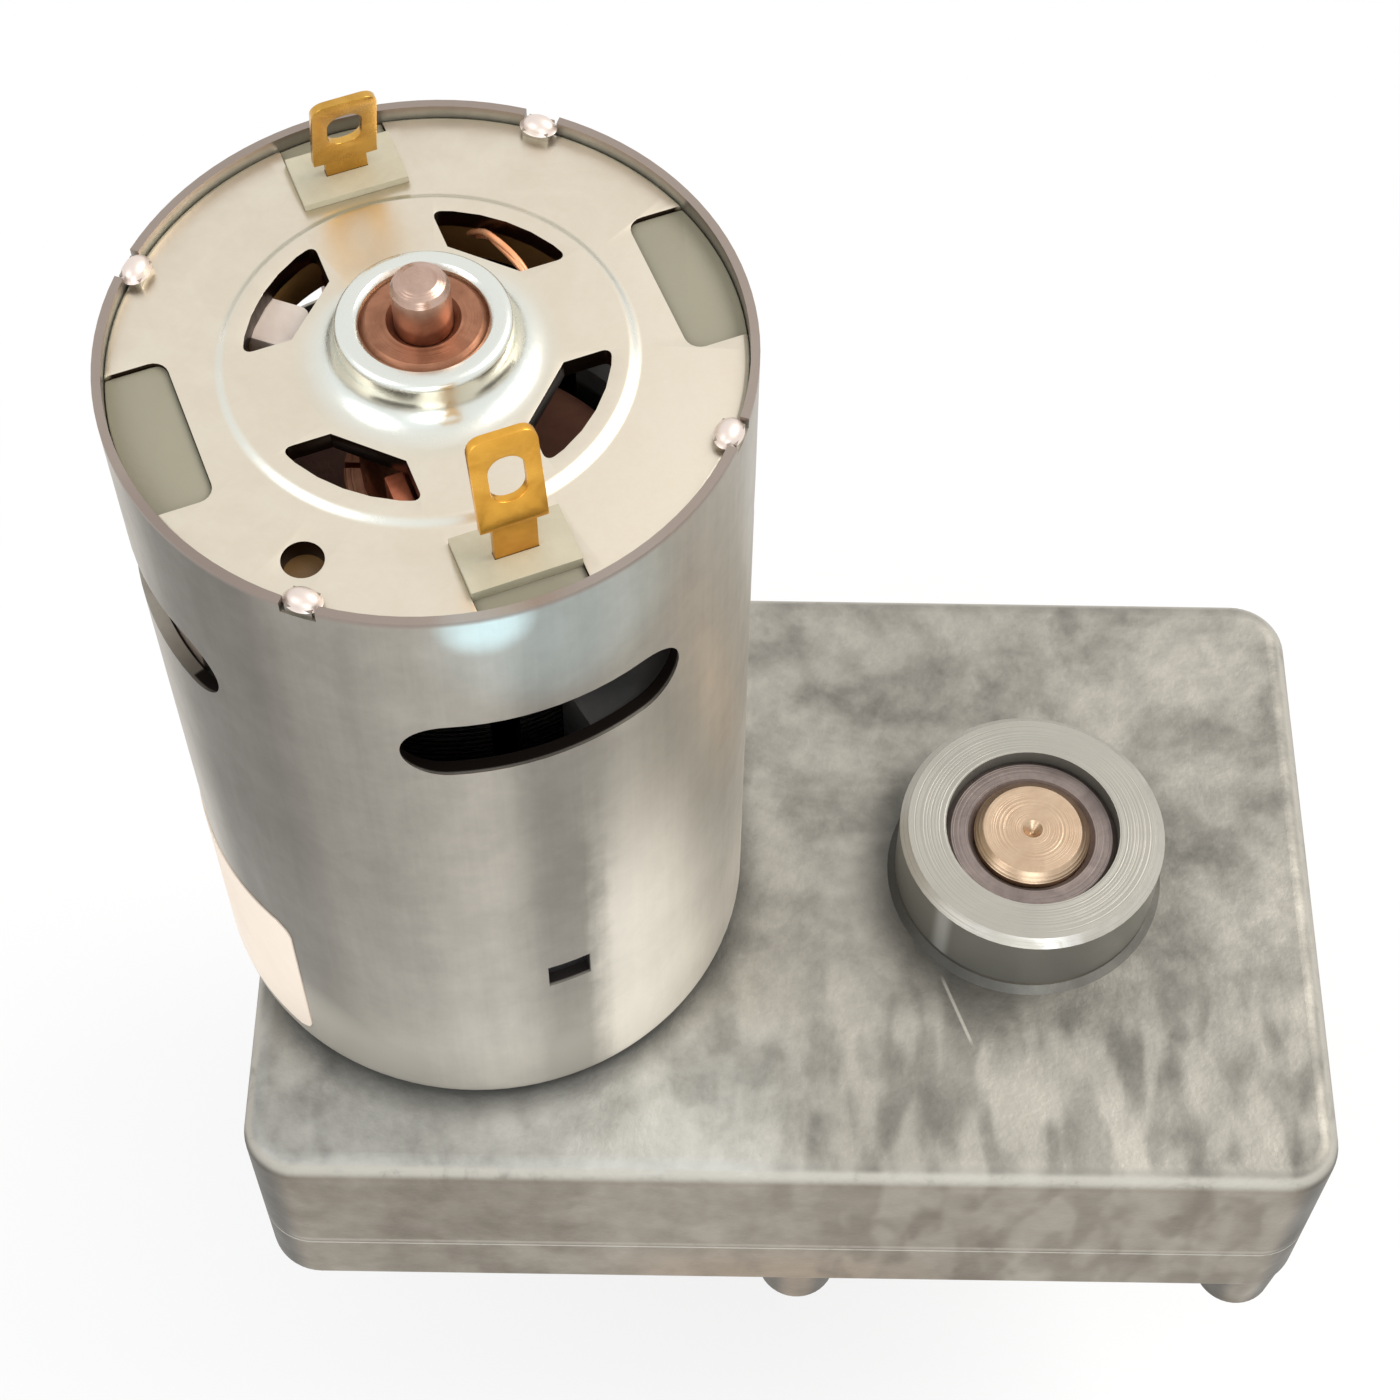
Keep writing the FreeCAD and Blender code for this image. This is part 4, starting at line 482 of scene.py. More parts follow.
def makeEndPlating():
    material, tree, shader = newMaterial("endPlating", 1.0)
    place, facing = objectPlace(tree), surfaceFacing(tree)
    height, up = (splitAxes(tree, vector)[2] for vector in (place, facing))
    radius = useGroup(tree, "turned", Place=place, Centre=motorX)["Radius"]

    def fade(value, name):
        return step(tree, value, *endFinish[name])

    tone = layeredTone(tree, place, endFinish["layers"])[0]
    colour = mixColour(tree, tone, endFinish["dark"], endFinish["light"])
    # painted cool highlights on the pressed steps and round the boss, brighter and cooler than the flat
    slant = useGroup(tree, "slantedEdge", Facing=facing, **endFinish["slant"])["Mask"]
    flareHighlight = larger(tree, times(tree, slant, endFinish["slantHighlightShare"]),
                   times(tree, fade(radius, "bossHighlightReach"), endFinish["bossHighlightShare"]))
    colour = mixColour(tree, flareHighlight, colour, endFinish["flare"])
    # painted shade on the edges of the openings and on the underside
    upright = fade(calc(tree, "ABSOLUTE", up), "uprightFace")
    openingShade = times(tree, upright, fade(radius, "outsideBore"), fade(radius, "insideRim"))
    colour = mixColour(tree, larger(tree, openingShade, fade(height, "underside")), colour, endFinish["cut"])
    rough = spread(tree, tone, endFinish["roughDark"], endFinish["roughLight"])
    setSurface(tree, shader, colour, mulAdd(tree, flareHighlight, endFinish["highlightSmooth"], rough),
               grainHeight(tree, place, 1500.0), 0.01 * mm)
    return material


def makeSheet(name, colour, tone, rough, patch, stretch=(1, 1, 1), depth=0.01 * mm, metallic=1.0):
    # plated sheet metal or wire with cloudy tone and a faint drawn grain
    material, tree, shader = newMaterial(name, metallic)
    place = objectPlace(tree)
    clouds = cloudMask(tree, place, "mottle", patch, stretch=stretch)
    setSurface(tree, shader, mixColour(tree, clouds, tone, colour),
               spread(tree, clouds, rough + 0.07, rough - 0.05),
               grainHeight(tree, place, 1800.0, stretch), depth)
    return material


def makeTurnedSteel(name, colour, tone, rough, centre=0.0, metallic=1.0):
    # a lathe-turned face: rings round the axis, and slight discolouring
    material, tree, shader = newMaterial(name, metallic)
    place = objectPlace(tree)
    rings = useGroup(tree, "turned", Place=place, Pitch=0.15 * mm, Centre=centre)["Rings"]
    clouds = cloudMask(tree, place, "mottle", 380.0)
    setSurface(tree, shader, mixColour(tree, clouds, tone, colour),
               spread(tree, rings, rough - 0.05, rough + 0.08), rings, 0.02 * mm)
    return material


def makeMoulded(name, colour, tone, rough, patch=160.0, lower=()):
    # moulded plastic, fibre, paper or ferrite: slight cloudiness, a fine skin, and, where asked, darker
    # colours lower down as painted shade
    material, tree, shader = newMaterial(name)
    place = objectPlace(tree)
    clouds = cloudMask(tree, place, "mottle", patch)
    shade = mixColour(tree, clouds, tone, colour)
    for level, below in lower:
        under = step(tree, splitAxes(tree, place)[2], level + 0.03 * mm, level - 0.03 * mm)
        shade = mixColour(tree, under, shade, below)
    setSurface(tree, shader, shade, spread(tree, clouds, rough + 0.06, rough - 0.06),
               grainHeight(tree, place, 2200.0), 0.02 * mm)
    return material


def makeLaminations():
    # thin stacked sheets: a fine stripe along the shaft
    material, tree, shader = newMaterial("laminatedCore", 0.8)
    place = objectPlace(tree)
    sheet = 0.5 * mm
    stripe = calc(tree, "SINE", times(tree, splitAxes(tree, place)[2], 2 * math.pi / sheet))
    clouds = cloudMask(tree, place, "mottle", 200.0, 0.35, 0.65)
    setSurface(tree, shader, mixColour(tree, clouds, (0.06, 0.05, 0.045), (0.16, 0.15, 0.14)),
               spread(tree, stripe, 0.35, 0.6, -1.0), stripe, 0.03 * mm)
    return material


# one finish for each material slot, and for some nodes and pieces a finish of their own
finishes = {
    "cast_alloy": makeCasting(),
    "plated_steel": makeCanPlating(),
    "plate_steel": makeEndPlating(),
    "lamination_steel": makeLaminations(),
    # the nylon is painted darker lower down, grey-green then brown, as shade in the openings
    "nylon": makeMoulded("naturalNylon", (0.53, 0.49, 0.37), (0.42, 0.38, 0.27), 0.42,
                         lower=((canTop - 0.98 * mm, (0.27, 0.25, 0.18)),
                                (canTop - 1.9 * mm, (0.19, 0.10, 0.03)))),
    "arm_nylon": makeMoulded("armNylon", (0.80, 0.70, 0.62), (0.70, 0.58, 0.50), 0.4),
    "gear_nylon": makeMoulded("gearAcetal", (0.78, 0.76, 0.70), (0.70, 0.68, 0.60), 0.4),
    "label_paper": makeMoulded("labelPaper", (0.88, 0.76, 0.64), (0.83, 0.70, 0.58), 0.55, patch=70.0),
    "washer_fibre": makeMoulded("washerFibre", (0.28, 0.12, 0.07), (0.20, 0.08, 0.05), 0.6),
    "carbon": makeMoulded("brushCarbon", (0.05, 0.05, 0.05), (0.03, 0.03, 0.03), 0.6),
    "ferrite": makeMoulded("magnetFerrite", (0.09, 0.085, 0.08), (0.05, 0.05, 0.05), 0.55),
    "bronze": makeTurnedSteel("bushingBronze", (0.42, 0.20, 0.12), (0.27, 0.12, 0.07), 0.42, motorX),
    "commutator_copper": makeTurnedSteel("commutatorCopper", (0.74, 0.38, 0.24), (0.55, 0.26, 0.16), 0.3,
                                         motorX),
    "motor_shaft": makeTurnedSteel("motorShaftSteel", (0.60, 0.43, 0.35), (0.44, 0.29, 0.23), 0.26, motorX),
    "ground_steel": makeTurnedSteel("shaftSteel", (0.62, 0.46, 0.32), (0.52, 0.37, 0.25), 0.30),
    "sintered_iron": makeTurnedSteel("sinteredIron", (0.27, 0.22, 0.20), (0.17, 0.135, 0.125), 0.42,
                                     metallic=0.7),
    "screw_steel": makeTurnedSteel("screwPlating", (0.55, 0.55, 0.53), (0.42, 0.42, 0.40), 0.35),
    "spring_steel": makeTurnedSteel("springSteel", (0.34, 0.34, 0.35), (0.24, 0.24, 0.26), 0.35),
    "gear_steel": makeTurnedSteel("gearSteel", (0.50, 0.49, 0.47), (0.40, 0.39, 0.37), 0.35),
    "terminal_front": makeSheet("terminalBrass", (0.83, 0.44, 0.075), (0.62, 0.30, 0.04), 0.30, 260.0),
    # the rear terminal has a darker copy of the same brass: painted shade
    "terminal_rear": makeSheet("terminalBrassShaded", (0.72, 0.42, 0.10), (0.50, 0.27, 0.05), 0.26, 260.0),
    "crimp_metal": makeSheet("struckZinc", (0.82, 0.72, 0.66), (0.72, 0.61, 0.55), 0.40, 120.0,
                             depth=0.002 * mm, metallic=0.8),
    "holder_copper": makeSheet("holderCopper", (0.40, 0.11, 0.05), (0.22, 0.06, 0.03), 0.35, 400.0),
    "bare_copper": makeSheet("bareCopper", (1.0, 0.50, 0.27), (0.98, 0.38, 0.16), 0.30, 700.0, metallic=0.35),
    "tab_copper": makeSheet("tabCopper", (0.62, 0.20, 0.10), (0.45, 0.12, 0.06), 0.40, 500.0, metallic=0.6),
    "copper_wire": makeSheet("enamelledCopper", (0.22, 0.06, 0.025), (0.09, 0.025, 0.012), 0.3, 500.0,
                             (1, 1, 0.35)),
    "sleeve_steel": makeSheet("sleeveSteel", (0.34, 0.28, 0.235), (0.26, 0.21, 0.175), 0.45, 200.0,
                              (1, 1, 0.35)),
}
finishes["terminal_brass"] = finishes["terminal_front"]
print("materials made")

slotOf = {row["node"]: row["material_slot"] for row in frame["record"]["subparts"]}
for name in nodes:
    nodeMaterials = nodes[name].data.materials
    nodeMaterials.clear()
    nodeMaterials.append(finishes.get(name) or finishes[slotOf[name]])
print("nodes dressed")


# hand tools that every new piece uses

def selectOnly(*things):
    bpy.ops.object.select_all(action="DESELECT")
    for thing in things:
        thing.select_set(True)
    bpy.context.view_layer.objects.active = things[0]


def openMesh(thing):
    selectOnly(thing)
    bpy.ops.object.mode_set(mode="EDIT")


def closeMesh():
    bpy.ops.object.mode_set(mode="OBJECT")


def settle(thing):
    # the place, turn and size go into the mesh
    selectOnly(thing)
    bpy.ops.object.transform_apply(location=True, rotation=True, scale=True)


def newPrimitive(addPrimitive, scale=(1, 1, 1), **settings):
    bpy.ops.object.select_all(action="DESELECT")
    addPrimitive(**settings)
    thing = bpy.context.object
    thing.scale = scale
    settle(thing)
    return thing


def block(centre, size, angle=0.0):
    return newPrimitive(bpy.ops.mesh.primitive_cube_add, size, size=1, location=centre,
                        rotation=(0, 0, math.radians(angle)))


def pickAll():
    bpy.ops.mesh.select_all(action="SELECT")


def pick(kind, test):
    # in edit mode, selects the vertices, edges or faces that pass the test
    mesh = bpy.context.object.data
    bpy.ops.mesh.select_mode(type={"verts": "VERT", "edges": "EDGE", "faces": "FACE"}[kind])
    bpy.ops.mesh.select_all(action="DESELECT")
    form = bmesh.from_edit_mesh(mesh)
    for item in getattr(form, kind):
        if test(item):
            item.select_set(True)
    form.select_flush_mode()
    bmesh.update_edit_mesh(mesh)


def middleOf(edge):
    return (edge.verts[0].co + edge.verts[1].co) / 2


def runOf(edge):
    return edge.verts[1].co - edge.verts[0].co


def isUpright(edge):
    return abs(runOf(edge).z) > 0.99 * runOf(edge).length


def turnOutwards():
    pickAll()
    bpy.ops.mesh.normals_make_consistent(inside=False)


def tidyMesh(thing):
    # merges what meets, then turns the faces outwards
    openMesh(thing)
    pickAll()
    bpy.ops.mesh.remove_doubles(threshold=0.002 * mm)
    turnOutwards()
    closeMesh()


def sliceOff(place, away, fill=True):
    # in edit mode, takes off all that lies beyond a plane
    pickAll()
    bpy.ops.mesh.bisect(plane_co=place, plane_no=away, use_fill=fill, clear_outer=True)


def applyModifier(thing, kind, **settings):
    selectOnly(thing)
    modifier = thing.modifiers.new(kind.lower(), kind)
    for name, value in settings.items():
        setattr(modifier, name, value)
    bpy.ops.object.modifier_apply(modifier=modifier.name)


def softenEdges(thing, width, angle=40):
    applyModifier(thing, "BEVEL", width=width, segments=2, limit_method="ANGLE",
                  angle_limit=math.radians(angle), harden_normals=False)


def cutAway(thing, cutter):
    settle(cutter)
    applyModifier(thing, "BOOLEAN", object=cutter, operation="DIFFERENCE", solver="EXACT")
    bpy.data.objects.remove(cutter, do_unlink=True)


def bevelPicked(amount, segments):
    bpy.ops.mesh.bevel(offset=amount, segments=segments, affect="EDGES")


def roundUpright(thing, test, amount):
    openMesh(thing)
    pick("edges", lambda edge: isUpright(edge) and test(middleOf(edge)))
    bevelPicked(amount, 5)
    closeMesh()


def joined(things):
    selectOnly(*things)
    bpy.ops.object.join()
    return bpy.context.object


def copied(thing):
    selectOnly(thing)
    bpy.ops.object.duplicate()
    return bpy.context.object


def extrudeEdges(move):
    bpy.ops.mesh.extrude_edges_move(TRANSFORM_OT_translate={"value": move})


def extrudeFaces(move):
    bpy.ops.mesh.extrude_region_move(TRANSFORM_OT_translate={"value": move})


def turnedShape(profile, centre, count):
    # a ring that is extruded and scaled from point to point of the profile, each (radius, height)
    radius, height = profile[0]
    thing = newPrimitive(bpy.ops.mesh.primitive_circle_add, vertices=count, radius=radius,
                         location=(*centre, height))
    openMesh(thing)
    pickAll()
    for nextRadius, nextHeight in profile[1:]:
        extrudeEdges((0, 0, nextHeight - height))
        share = nextRadius / radius
        bpy.ops.transform.resize(value=(share, share, 1), center_override=(*centre, nextHeight))
        radius, height = nextRadius, nextHeight
    closeMesh()
    return thing


def arcPoints(centre, radius, start, end, count):
    points = []
    for number in range(count + 1):
        turn = math.radians(start + (end - start) * number / count)
        points.append((centre[0] + radius * math.cos(turn), centre[1] + radius * math.sin(turn)))
    return points


def towards(angle):
    # the level direction at an angle in degrees
    return Vector((math.cos(math.radians(angle)), math.sin(math.radians(angle)), 0))


def levelPart(spot):
    return Vector((spot.x, spot.y, 0))


def aroundMotor(angle, reach, height=0.0):
    return motorAxis + towards(angle) * reach + Vector((0, 0, height))


def standAt(thing, angle, reach=0.0):
    # turns a piece to face outwards and moves it to its place round the motor's axis
    thing.rotation_euler = (0, 0, math.radians(angle))
    thing.location = aroundMotor(angle, reach)
    settle(thing)


def spreadRound(thing, count):
    # copies of the whole mesh at equal turns about the motor's axis
    openMesh(thing)
    pickAll()
    for number in range(count - 1):
        bpy.ops.mesh.duplicate()
        bpy.ops.transform.rotate(value=2 * math.pi / count, orient_axis="Z", center_override=motorAxis)
    closeMesh()


def finishPiece(thing, name, body, finish, angle=35):
    settle(thing)
    bpy.ops.object.shade_smooth_by_angle(angle=math.radians(angle))
    thing.name = name
    thing.data.name = name
    thing.data.materials.clear()
    thing.data.materials.append(finishes[finish])
    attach(thing, body)


# the motor's end plate: a pressed disc with a raised middle, a flared boss and its openings

endPlate = {
    "rim": 17.4 * mm, "edgeRound": 0.35 * mm, "flatTop": plateHigh.z - 3.25 * mm, "thickness": 1.2 * mm,
    "plateau": 10.9 * mm, "slope": 0.6 * mm, "plateauTop": plateHigh.z - 2.9 * mm, "softness": 0.10 * mm,
    "boss": 4.8 * mm, "bossTop": plateHigh.z, "bossBottom": plateLow.z, "flare": 1.9 * mm, "lip": 0.5 * mm,
    "bore": 3.5 * mm, "boreChamfer": 0.25 * mm, "bossDraft": 0.02 * mm, "segments": 160, "edge": 0.07 * mm,
    "ventAngle": 67.5, "ventInner": 7.5 * mm, "ventOuter": 9.95 * mm, "ventInnerHalf": 18.0,
    "ventOuterHalf": 25.0, "ventCorner": 0.6 * mm, "ventFacets": 40,
    "windowAngle": 22.5, "windowInner": 13.3 * mm, "windowWidth": 9.8 * mm, "windowCorner": 0.9 * mm,
    "padAngle": -67.5, "padInner": 12.1 * mm, "padWidth": 6.1 * mm,
    "gaugeAngle": -112.5, "gaugeCircle": 14.6 * mm, "gaugeHole": 1.15 * mm, "gaugeFacets": 40,
    "cutHeight": 6 * mm, "cutOverrun": 3 * mm, "cornerNear": 0.12 * mm,
}


def ventCutter(sizes):
    # a disc cut to one vent's straight inner side and two slanting sides, then spread round
    angle = sizes["ventAngle"]
    # the corners fall between the disc's own upright edges, so that they can be rounded
    thing = newPrimitive(bpy.ops.mesh.primitive_cylinder_add, vertices=sizes["ventFacets"],
                         radius=sizes["ventOuter"], depth=sizes["cutHeight"],
                         location=(motorX, 0, sizes["flatTop"]), rotation=(0, 0, math.radians(angle - 90)))
    inner = [aroundMotor(angle + side * sizes["ventInnerHalf"], sizes["ventInner"]) for side in (-1, 1)]
    outer = [aroundMotor(angle + side * sizes["ventOuterHalf"], sizes["ventOuter"]) for side in (-1, 1)]
    openMesh(thing)
    sliceOff(inner[0], -towards(angle))
    for side, near, far in zip((-1, 1), inner, outer):
        run = (far - near).normalized()
        sliceOff(near, Vector((-run.y, run.x, 0)) * side)
    closeMesh()

    def isCorner(spot):
        return any((levelPart(spot) - corner).length < sizes["cornerNear"] for corner in inner + outer)

    roundUpright(thing, isCorner, sizes["ventCorner"])
    spreadRound(thing, 4)
    return thing


def slabCutter(sizes, name, corner=0.0):
    # a pair of slabs from an inner flat out past the rim
    angle, inner, width = (sizes[name + part] for part in ("Angle", "Inner", "Width"))
    outer = sizes["rim"] + sizes["cutOverrun"]
    thing = block(aroundMotor(angle, (inner + outer) / 2, sizes["flatTop"]),
                  (outer - inner, width, sizes["cutHeight"]), angle)
    if corner:
        inward = aroundMotor(angle, inner)
        # only the two inner corners lie within the width of the slab's inner middle
        roundUpright(thing, lambda spot: (levelPart(spot) - inward).length < width * 0.6, corner)
    spreadRound(thing, 2)
    return thing


def endPlateProfile(sizes):
    boss, bore, lip, flare = (sizes[name] for name in ("boss", "bore", "lip", "flare"))
    flatTop, plateauTop, bossTopLevel = (sizes[name] for name in ("flatTop", "plateauTop", "bossTop"))
    under, raised = flatTop - sizes["thickness"], plateauTop - sizes["thickness"]
    foot, soft = sizes["plateau"] + sizes["slope"], sizes["softness"]
    edge = sizes["edgeRound"]
    profile = [(bore, sizes["bossBottom"]), (boss, sizes["bossBottom"]), (boss, raised),
               (sizes["plateau"] - soft, raised), (foot - soft, under), (sizes["rim"], under),
               (sizes["rim"], flatTop - edge)]
    profile += arcPoints((sizes["rim"] - edge, flatTop - edge), edge, 22.5, 90, 3)
    # the pressed step, as an easy S from the flat up to the raised middle
    for number in range(9):
        share = number / 8
        profile.append((foot + soft - (sizes["slope"] + 2 * soft) * share,
                        flatTop + (plateauTop - flatTop) * (3 - 2 * share) * share * share))
    profile += arcPoints((boss + flare, plateauTop + flare), flare, 270, 188, 10)
    profile.append((boss + sizes["bossDraft"], bossTopLevel - lip))
    profile += arcPoints((boss - lip, bossTopLevel - lip), lip, 12, 90, 5)
    profile += [(bore + sizes["boreChamfer"], bossTopLevel), (bore, bossTopLevel - sizes["boreChamfer"]),
                (bore, sizes["bossBottom"])]
    return profile


def makeEndPlate(sizes):
    plate = turnedShape(endPlateProfile(sizes), (motorX, 0), sizes["segments"])
    tidyMesh(plate)
    cutAway(plate, ventCutter(sizes))
    cutAway(plate, slabCutter(sizes, "window", sizes["windowCorner"]))
    cutAway(plate, slabCutter(sizes, "pad"))
    gauge = aroundMotor(sizes["gaugeAngle"], sizes["gaugeCircle"], sizes["flatTop"])
    cutAway(plate, newPrimitive(bpy.ops.mesh.primitive_cylinder_add, vertices=sizes["gaugeFacets"],
                                radius=sizes["gaugeHole"], depth=sizes["cutHeight"], location=gauge))
    softenEdges(plate, sizes["edge"])
    finishPiece(plate, "endPlate", "motor_body", "plate_steel")
    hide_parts("motor_end_plate")


makeEndPlate(endPlate)
print("end plate made")


# nubs of swaged metal on the four folds that hold the end plate

crimpNub = {"angle": -18.0, "reach": 17.1 * mm, "scale": (0.72 * mm, 0.98 * mm, 0.66 * mm), "footSpread": 1.12,
            "base": canTop - 0.34 * mm}


def makeCrimpNubs(sizes):
    place = aroundMotor(sizes["angle"], sizes["reach"], sizes["base"])
    nub = newPrimitive(bpy.ops.mesh.primitive_uv_sphere_add, sizes["scale"], segments=28, ring_count=16,
                       radius=1, location=place, rotation=(0, 0, math.radians(sizes["angle"])))
    openMesh(nub)
    sliceOff(place, (0, 0, -1))
    # the foot spreads a little where the fold was struck
    pick("verts", lambda vert: vert.co.z < place.z + closeTo)
    bpy.ops.transform.resize(value=(sizes["footSpread"], sizes["footSpread"], 1), center_override=place)
    closeMesh()
    spreadRound(nub, 4)
    tidyMesh(nub)
    finishPiece(nub, "crimpNubs", "motor_body", "crimp_metal", 60)


makeCrimpNubs(crimpNub)
print("crimp nubs made")


# the blank paper label: a strip of the can's skin with rounded corners

labelSheet = {"edge": -127.0, "span": 96.0, "corner": 1.5 * mm, "steps": 5, "thickness": 0.09 * mm,
              "lift": 0.005 * mm, "segments": 240}


def skinTube(radius, low, high, segments):
    return newPrimitive(bpy.ops.mesh.primitive_cylinder_add, vertices=segments, radius=radius,
                        end_fill_type="NOTHING", depth=high - low, location=(motorX, 0, (low + high) / 2))


def makeLabelSheet(sizes):
    sheet = skinTube(canRadius + sizes["lift"], labelLow.z, labelHigh.z, sizes["segments"])
    openMesh(sheet)
    corner = sizes["corner"]
    for side, angle in ((1, sizes["edge"]), (-1, sizes["edge"] - sizes["span"])):
        along = towards(angle + 90) * side
        sliceOff(motorAxis, along, fill=False)
        for rise, level in ((1, labelHigh.z), (-1, labelLow.z)):
            centre = aroundMotor(angle, canRadius, level - rise * corner) - along * corner
            for number in range(1, sizes["steps"]):
                lift = math.radians(90 * number / sizes["steps"])
                away = along * math.cos(lift) + Vector((0, 0, rise)) * math.sin(lift)
                sliceOff(centre + away * corner, away, fill=False)
    closeMesh()
    tidyMesh(sheet)
    applyModifier(sheet, "SOLIDIFY", thickness=sizes["thickness"], offset=1.0)
    finishPiece(sheet, "paperLabel", "motor_body", "label_paper", 30)
    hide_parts("motor_label")


makeLabelSheet(labelSheet)
print("label made")


# solder terminals: a narrow neck, then a wider eyelet blade that leans to the shaft

terminal = {
    "circle": 14.0 * mm, "thickness": 0.5 * mm, "neck": 2.4 * mm, "width": 3.7 * mm, "blade": 5.6 * mm,
    "corner": 0.8 * mm, "holeWidth": 2.0 * mm, "holeHeight": 2.9 * mm, "holeDepth": 4 * mm, "holeRound": 0.46,
    "shoulder": 0.35 * mm, "shoulderRise": 0.02 * mm, "edge": 0.08 * mm,
}


def makeTerminal(sizes, node, name, angle, lean):
    low, high = sizesOf[node]
    bend = high.z - sizes["blade"]
    neckTop = bend - sizes["shoulder"]
    drift = sizes["blade"] * math.tan(math.radians(lean))
    blade = block((0, 0, (low.z + neckTop) / 2), (sizes["thickness"], sizes["neck"], neckTop - low.z))
    openMesh(blade)
    pick("faces", lambda face: face.normal.z > 0.9)
    extrudeFaces((0, 0, sizes["shoulderRise"]))
    bpy.ops.transform.resize(value=(1, sizes["width"] / sizes["neck"], 1), center_override=(0, 0, neckTop))
    extrudeFaces((0, 0, sizes["shoulder"] - sizes["shoulderRise"]))
    extrudeFaces((-drift, 0, sizes["blade"]))
    pick("edges", lambda edge: abs(middleOf(edge).z - high.z) < closeTo and abs(runOf(edge).y) < closeTo)
    bevelPicked(sizes["corner"], 6)
    closeMesh()
    hole = block((-drift / 2, 0, bend + sizes["blade"] / 2),
                 (sizes["holeDepth"], sizes["holeWidth"], sizes["holeHeight"]))
    openMesh(hole)
    pick("edges", lambda edge: abs(runOf(edge).x) > closeTo)
    bevelPicked(sizes["holeWidth"] * sizes["holeRound"], 7)
    closeMesh()
    cutAway(blade, hole)
    softenEdges(blade, sizes["edge"])
    standAt(blade, angle, sizes["circle"])
    finishPiece(blade, name, "motor_body", node)
    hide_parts(node)


makeTerminal(terminal, "terminal_front", "terminalFront", -67.5, 11.5)
makeTerminal(terminal, "terminal_rear", "terminalRear", 112.5, 15.5)
print("terminals made")


# the coils round the teeth of the armature: arches of wire over each end of the core

coil = {
    "teeth": 5, "wire": 0.27 * mm, "inner": 5.2 * mm, "pitch": 0.72 * mm, "rows": 7, "layers": 4,
    "side": 2.5 * mm, "layerStep": 0.62 * mm, "unevenness": 0.05 * mm, "flatten": 0.86, "steps": 10,
    "intoSlot": 1.2 * mm,
}


def makeCoils(sizes):
    coreLow, coreHigh = sizesOf["armature_insulators"]
    start = (0, 0, coreHigh.z)
    strands = []
    for row in range(sizes["rows"]):
        for layer in range(sizes["layers"]):
            if layer == sizes["layers"] - 1 and row in (0, sizes["rows"] - 1):
                continue
            reach = sizes["inner"] + (row + (layer % 2) * 0.5) * sizes["pitch"]
            aside = sizes["side"] + layer * sizes["layerStep"]
            aside += sizes["unevenness"] * math.sin(3.1 * row + layer)
            strands.append(newPrimitive(bpy.ops.mesh.primitive_circle_add, vertices=6, radius=sizes["wire"],
                                        location=(reach, aside, coreHigh.z)))
    coils = joined(strands)
    openMesh(coils)
    pickAll()
    bpy.ops.mesh.spin(steps=sizes["steps"], angle=math.pi, center=start, axis=(1, 0, 0))
    pickAll()
    bpy.ops.transform.resize(value=(1, 1, sizes["flatten"]), center_override=start)
    # the ends run a little way down into the slots and are closed
    pick("edges", lambda edge: edge.is_boundary)
    extrudeEdges((0, 0, -sizes["intoSlot"]))
    pick("edges", lambda edge: edge.is_boundary)
    bpy.ops.mesh.edge_face_add()
    closeMesh()
    standAt(coils, 0.0)
    spreadRound(coils, sizes["teeth"])
    lower = copied(coils)
    openMesh(lower)
    pickAll()
    bpy.ops.transform.resize(value=(1, 1, -1), center_override=(motorX, 0, (coreLow.z + coreHigh.z) / 2))
    # mirroring turned its faces inwards
    bpy.ops.mesh.flip_normals()
    closeMesh()
    both = joined([coils, lower])
    finishPiece(both, "woundCoils", "armature", "copper_wire", 60)
    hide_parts("armature_windings")


makeCoils(coil)
print("coils made")


# moulded pads that fill the openings of the end plate up to the rim

windowPad = {"angle": 22.5, "inner": 13.36 * mm, "reach": 17.34 * mm, "width": 9.68 * mm, "bottom": 80.62 * mm,
             "top": 81.5 * mm, "edge": 0.12 * mm, "segments": 144, "merge": 0.05 * mm}
terminalPad = {"angle": -67.5, "inner": 12.16 * mm, "reach": 17.34 * mm, "width": 5.98 * mm,
               "bottom": 80.62 * mm, "top": 81.49 * mm, "edge": 0.06 * mm, "segments": 144, "merge": 0.05 * mm}


def makePads(sizes, name):
    pad = newPrimitive(bpy.ops.mesh.primitive_cylinder_add, vertices=sizes["segments"],
                       radius=sizes["reach"], depth=sizes["top"] - sizes["bottom"],
                       location=(motorX, 0, (sizes["top"] + sizes["bottom"]) / 2))
    openMesh(pad)
    sliceOff(aroundMotor(sizes["angle"], sizes["inner"]), -towards(sizes["angle"]))
    for turn in (90, -90):
        aside = towards(sizes["angle"] + turn)
        sliceOff(motorAxis + aside * sizes["width"] / 2, aside)
    # slivers along the curved side would spoil the bevel
    pickAll()
    bpy.ops.mesh.remove_doubles(threshold=sizes["merge"])
    closeMesh()
    softenEdges(pad, sizes["edge"])
    spreadRound(pad, 2)
    tidyMesh(pad)
    finishPiece(pad, name, "motor_body", "nylon")


makePads(windowPad, "windowPads")
makePads(terminalPad, "terminalPads")
print("pads made")


# what shows under the vents and slots: a lug, a steel sleeve, brush holders, a lead and a moulded arm

shuntTab = {"angle": -67.5, "reach": 7.0 * mm, "aside": -4.05 * mm, "top": 80.4 * mm,
            "size": (2.3 * mm, 1.05 * mm, 2.2 * mm), "corner": 0.4 * mm, "edge": 0.1 * mm}


def makeShuntTab(sizes):
    # a bright lug beside the front brush holder
    tab = block((sizes["reach"], sizes["aside"], sizes["top"] - sizes["size"][2] / 2), sizes["size"])
    roundUpright(tab, lambda spot: spot.x > sizes["reach"], sizes["corner"])
    softenEdges(tab, sizes["edge"])
    standAt(tab, sizes["angle"])
    finishPiece(tab, "shuntTab", "motor_body", "tab_copper")


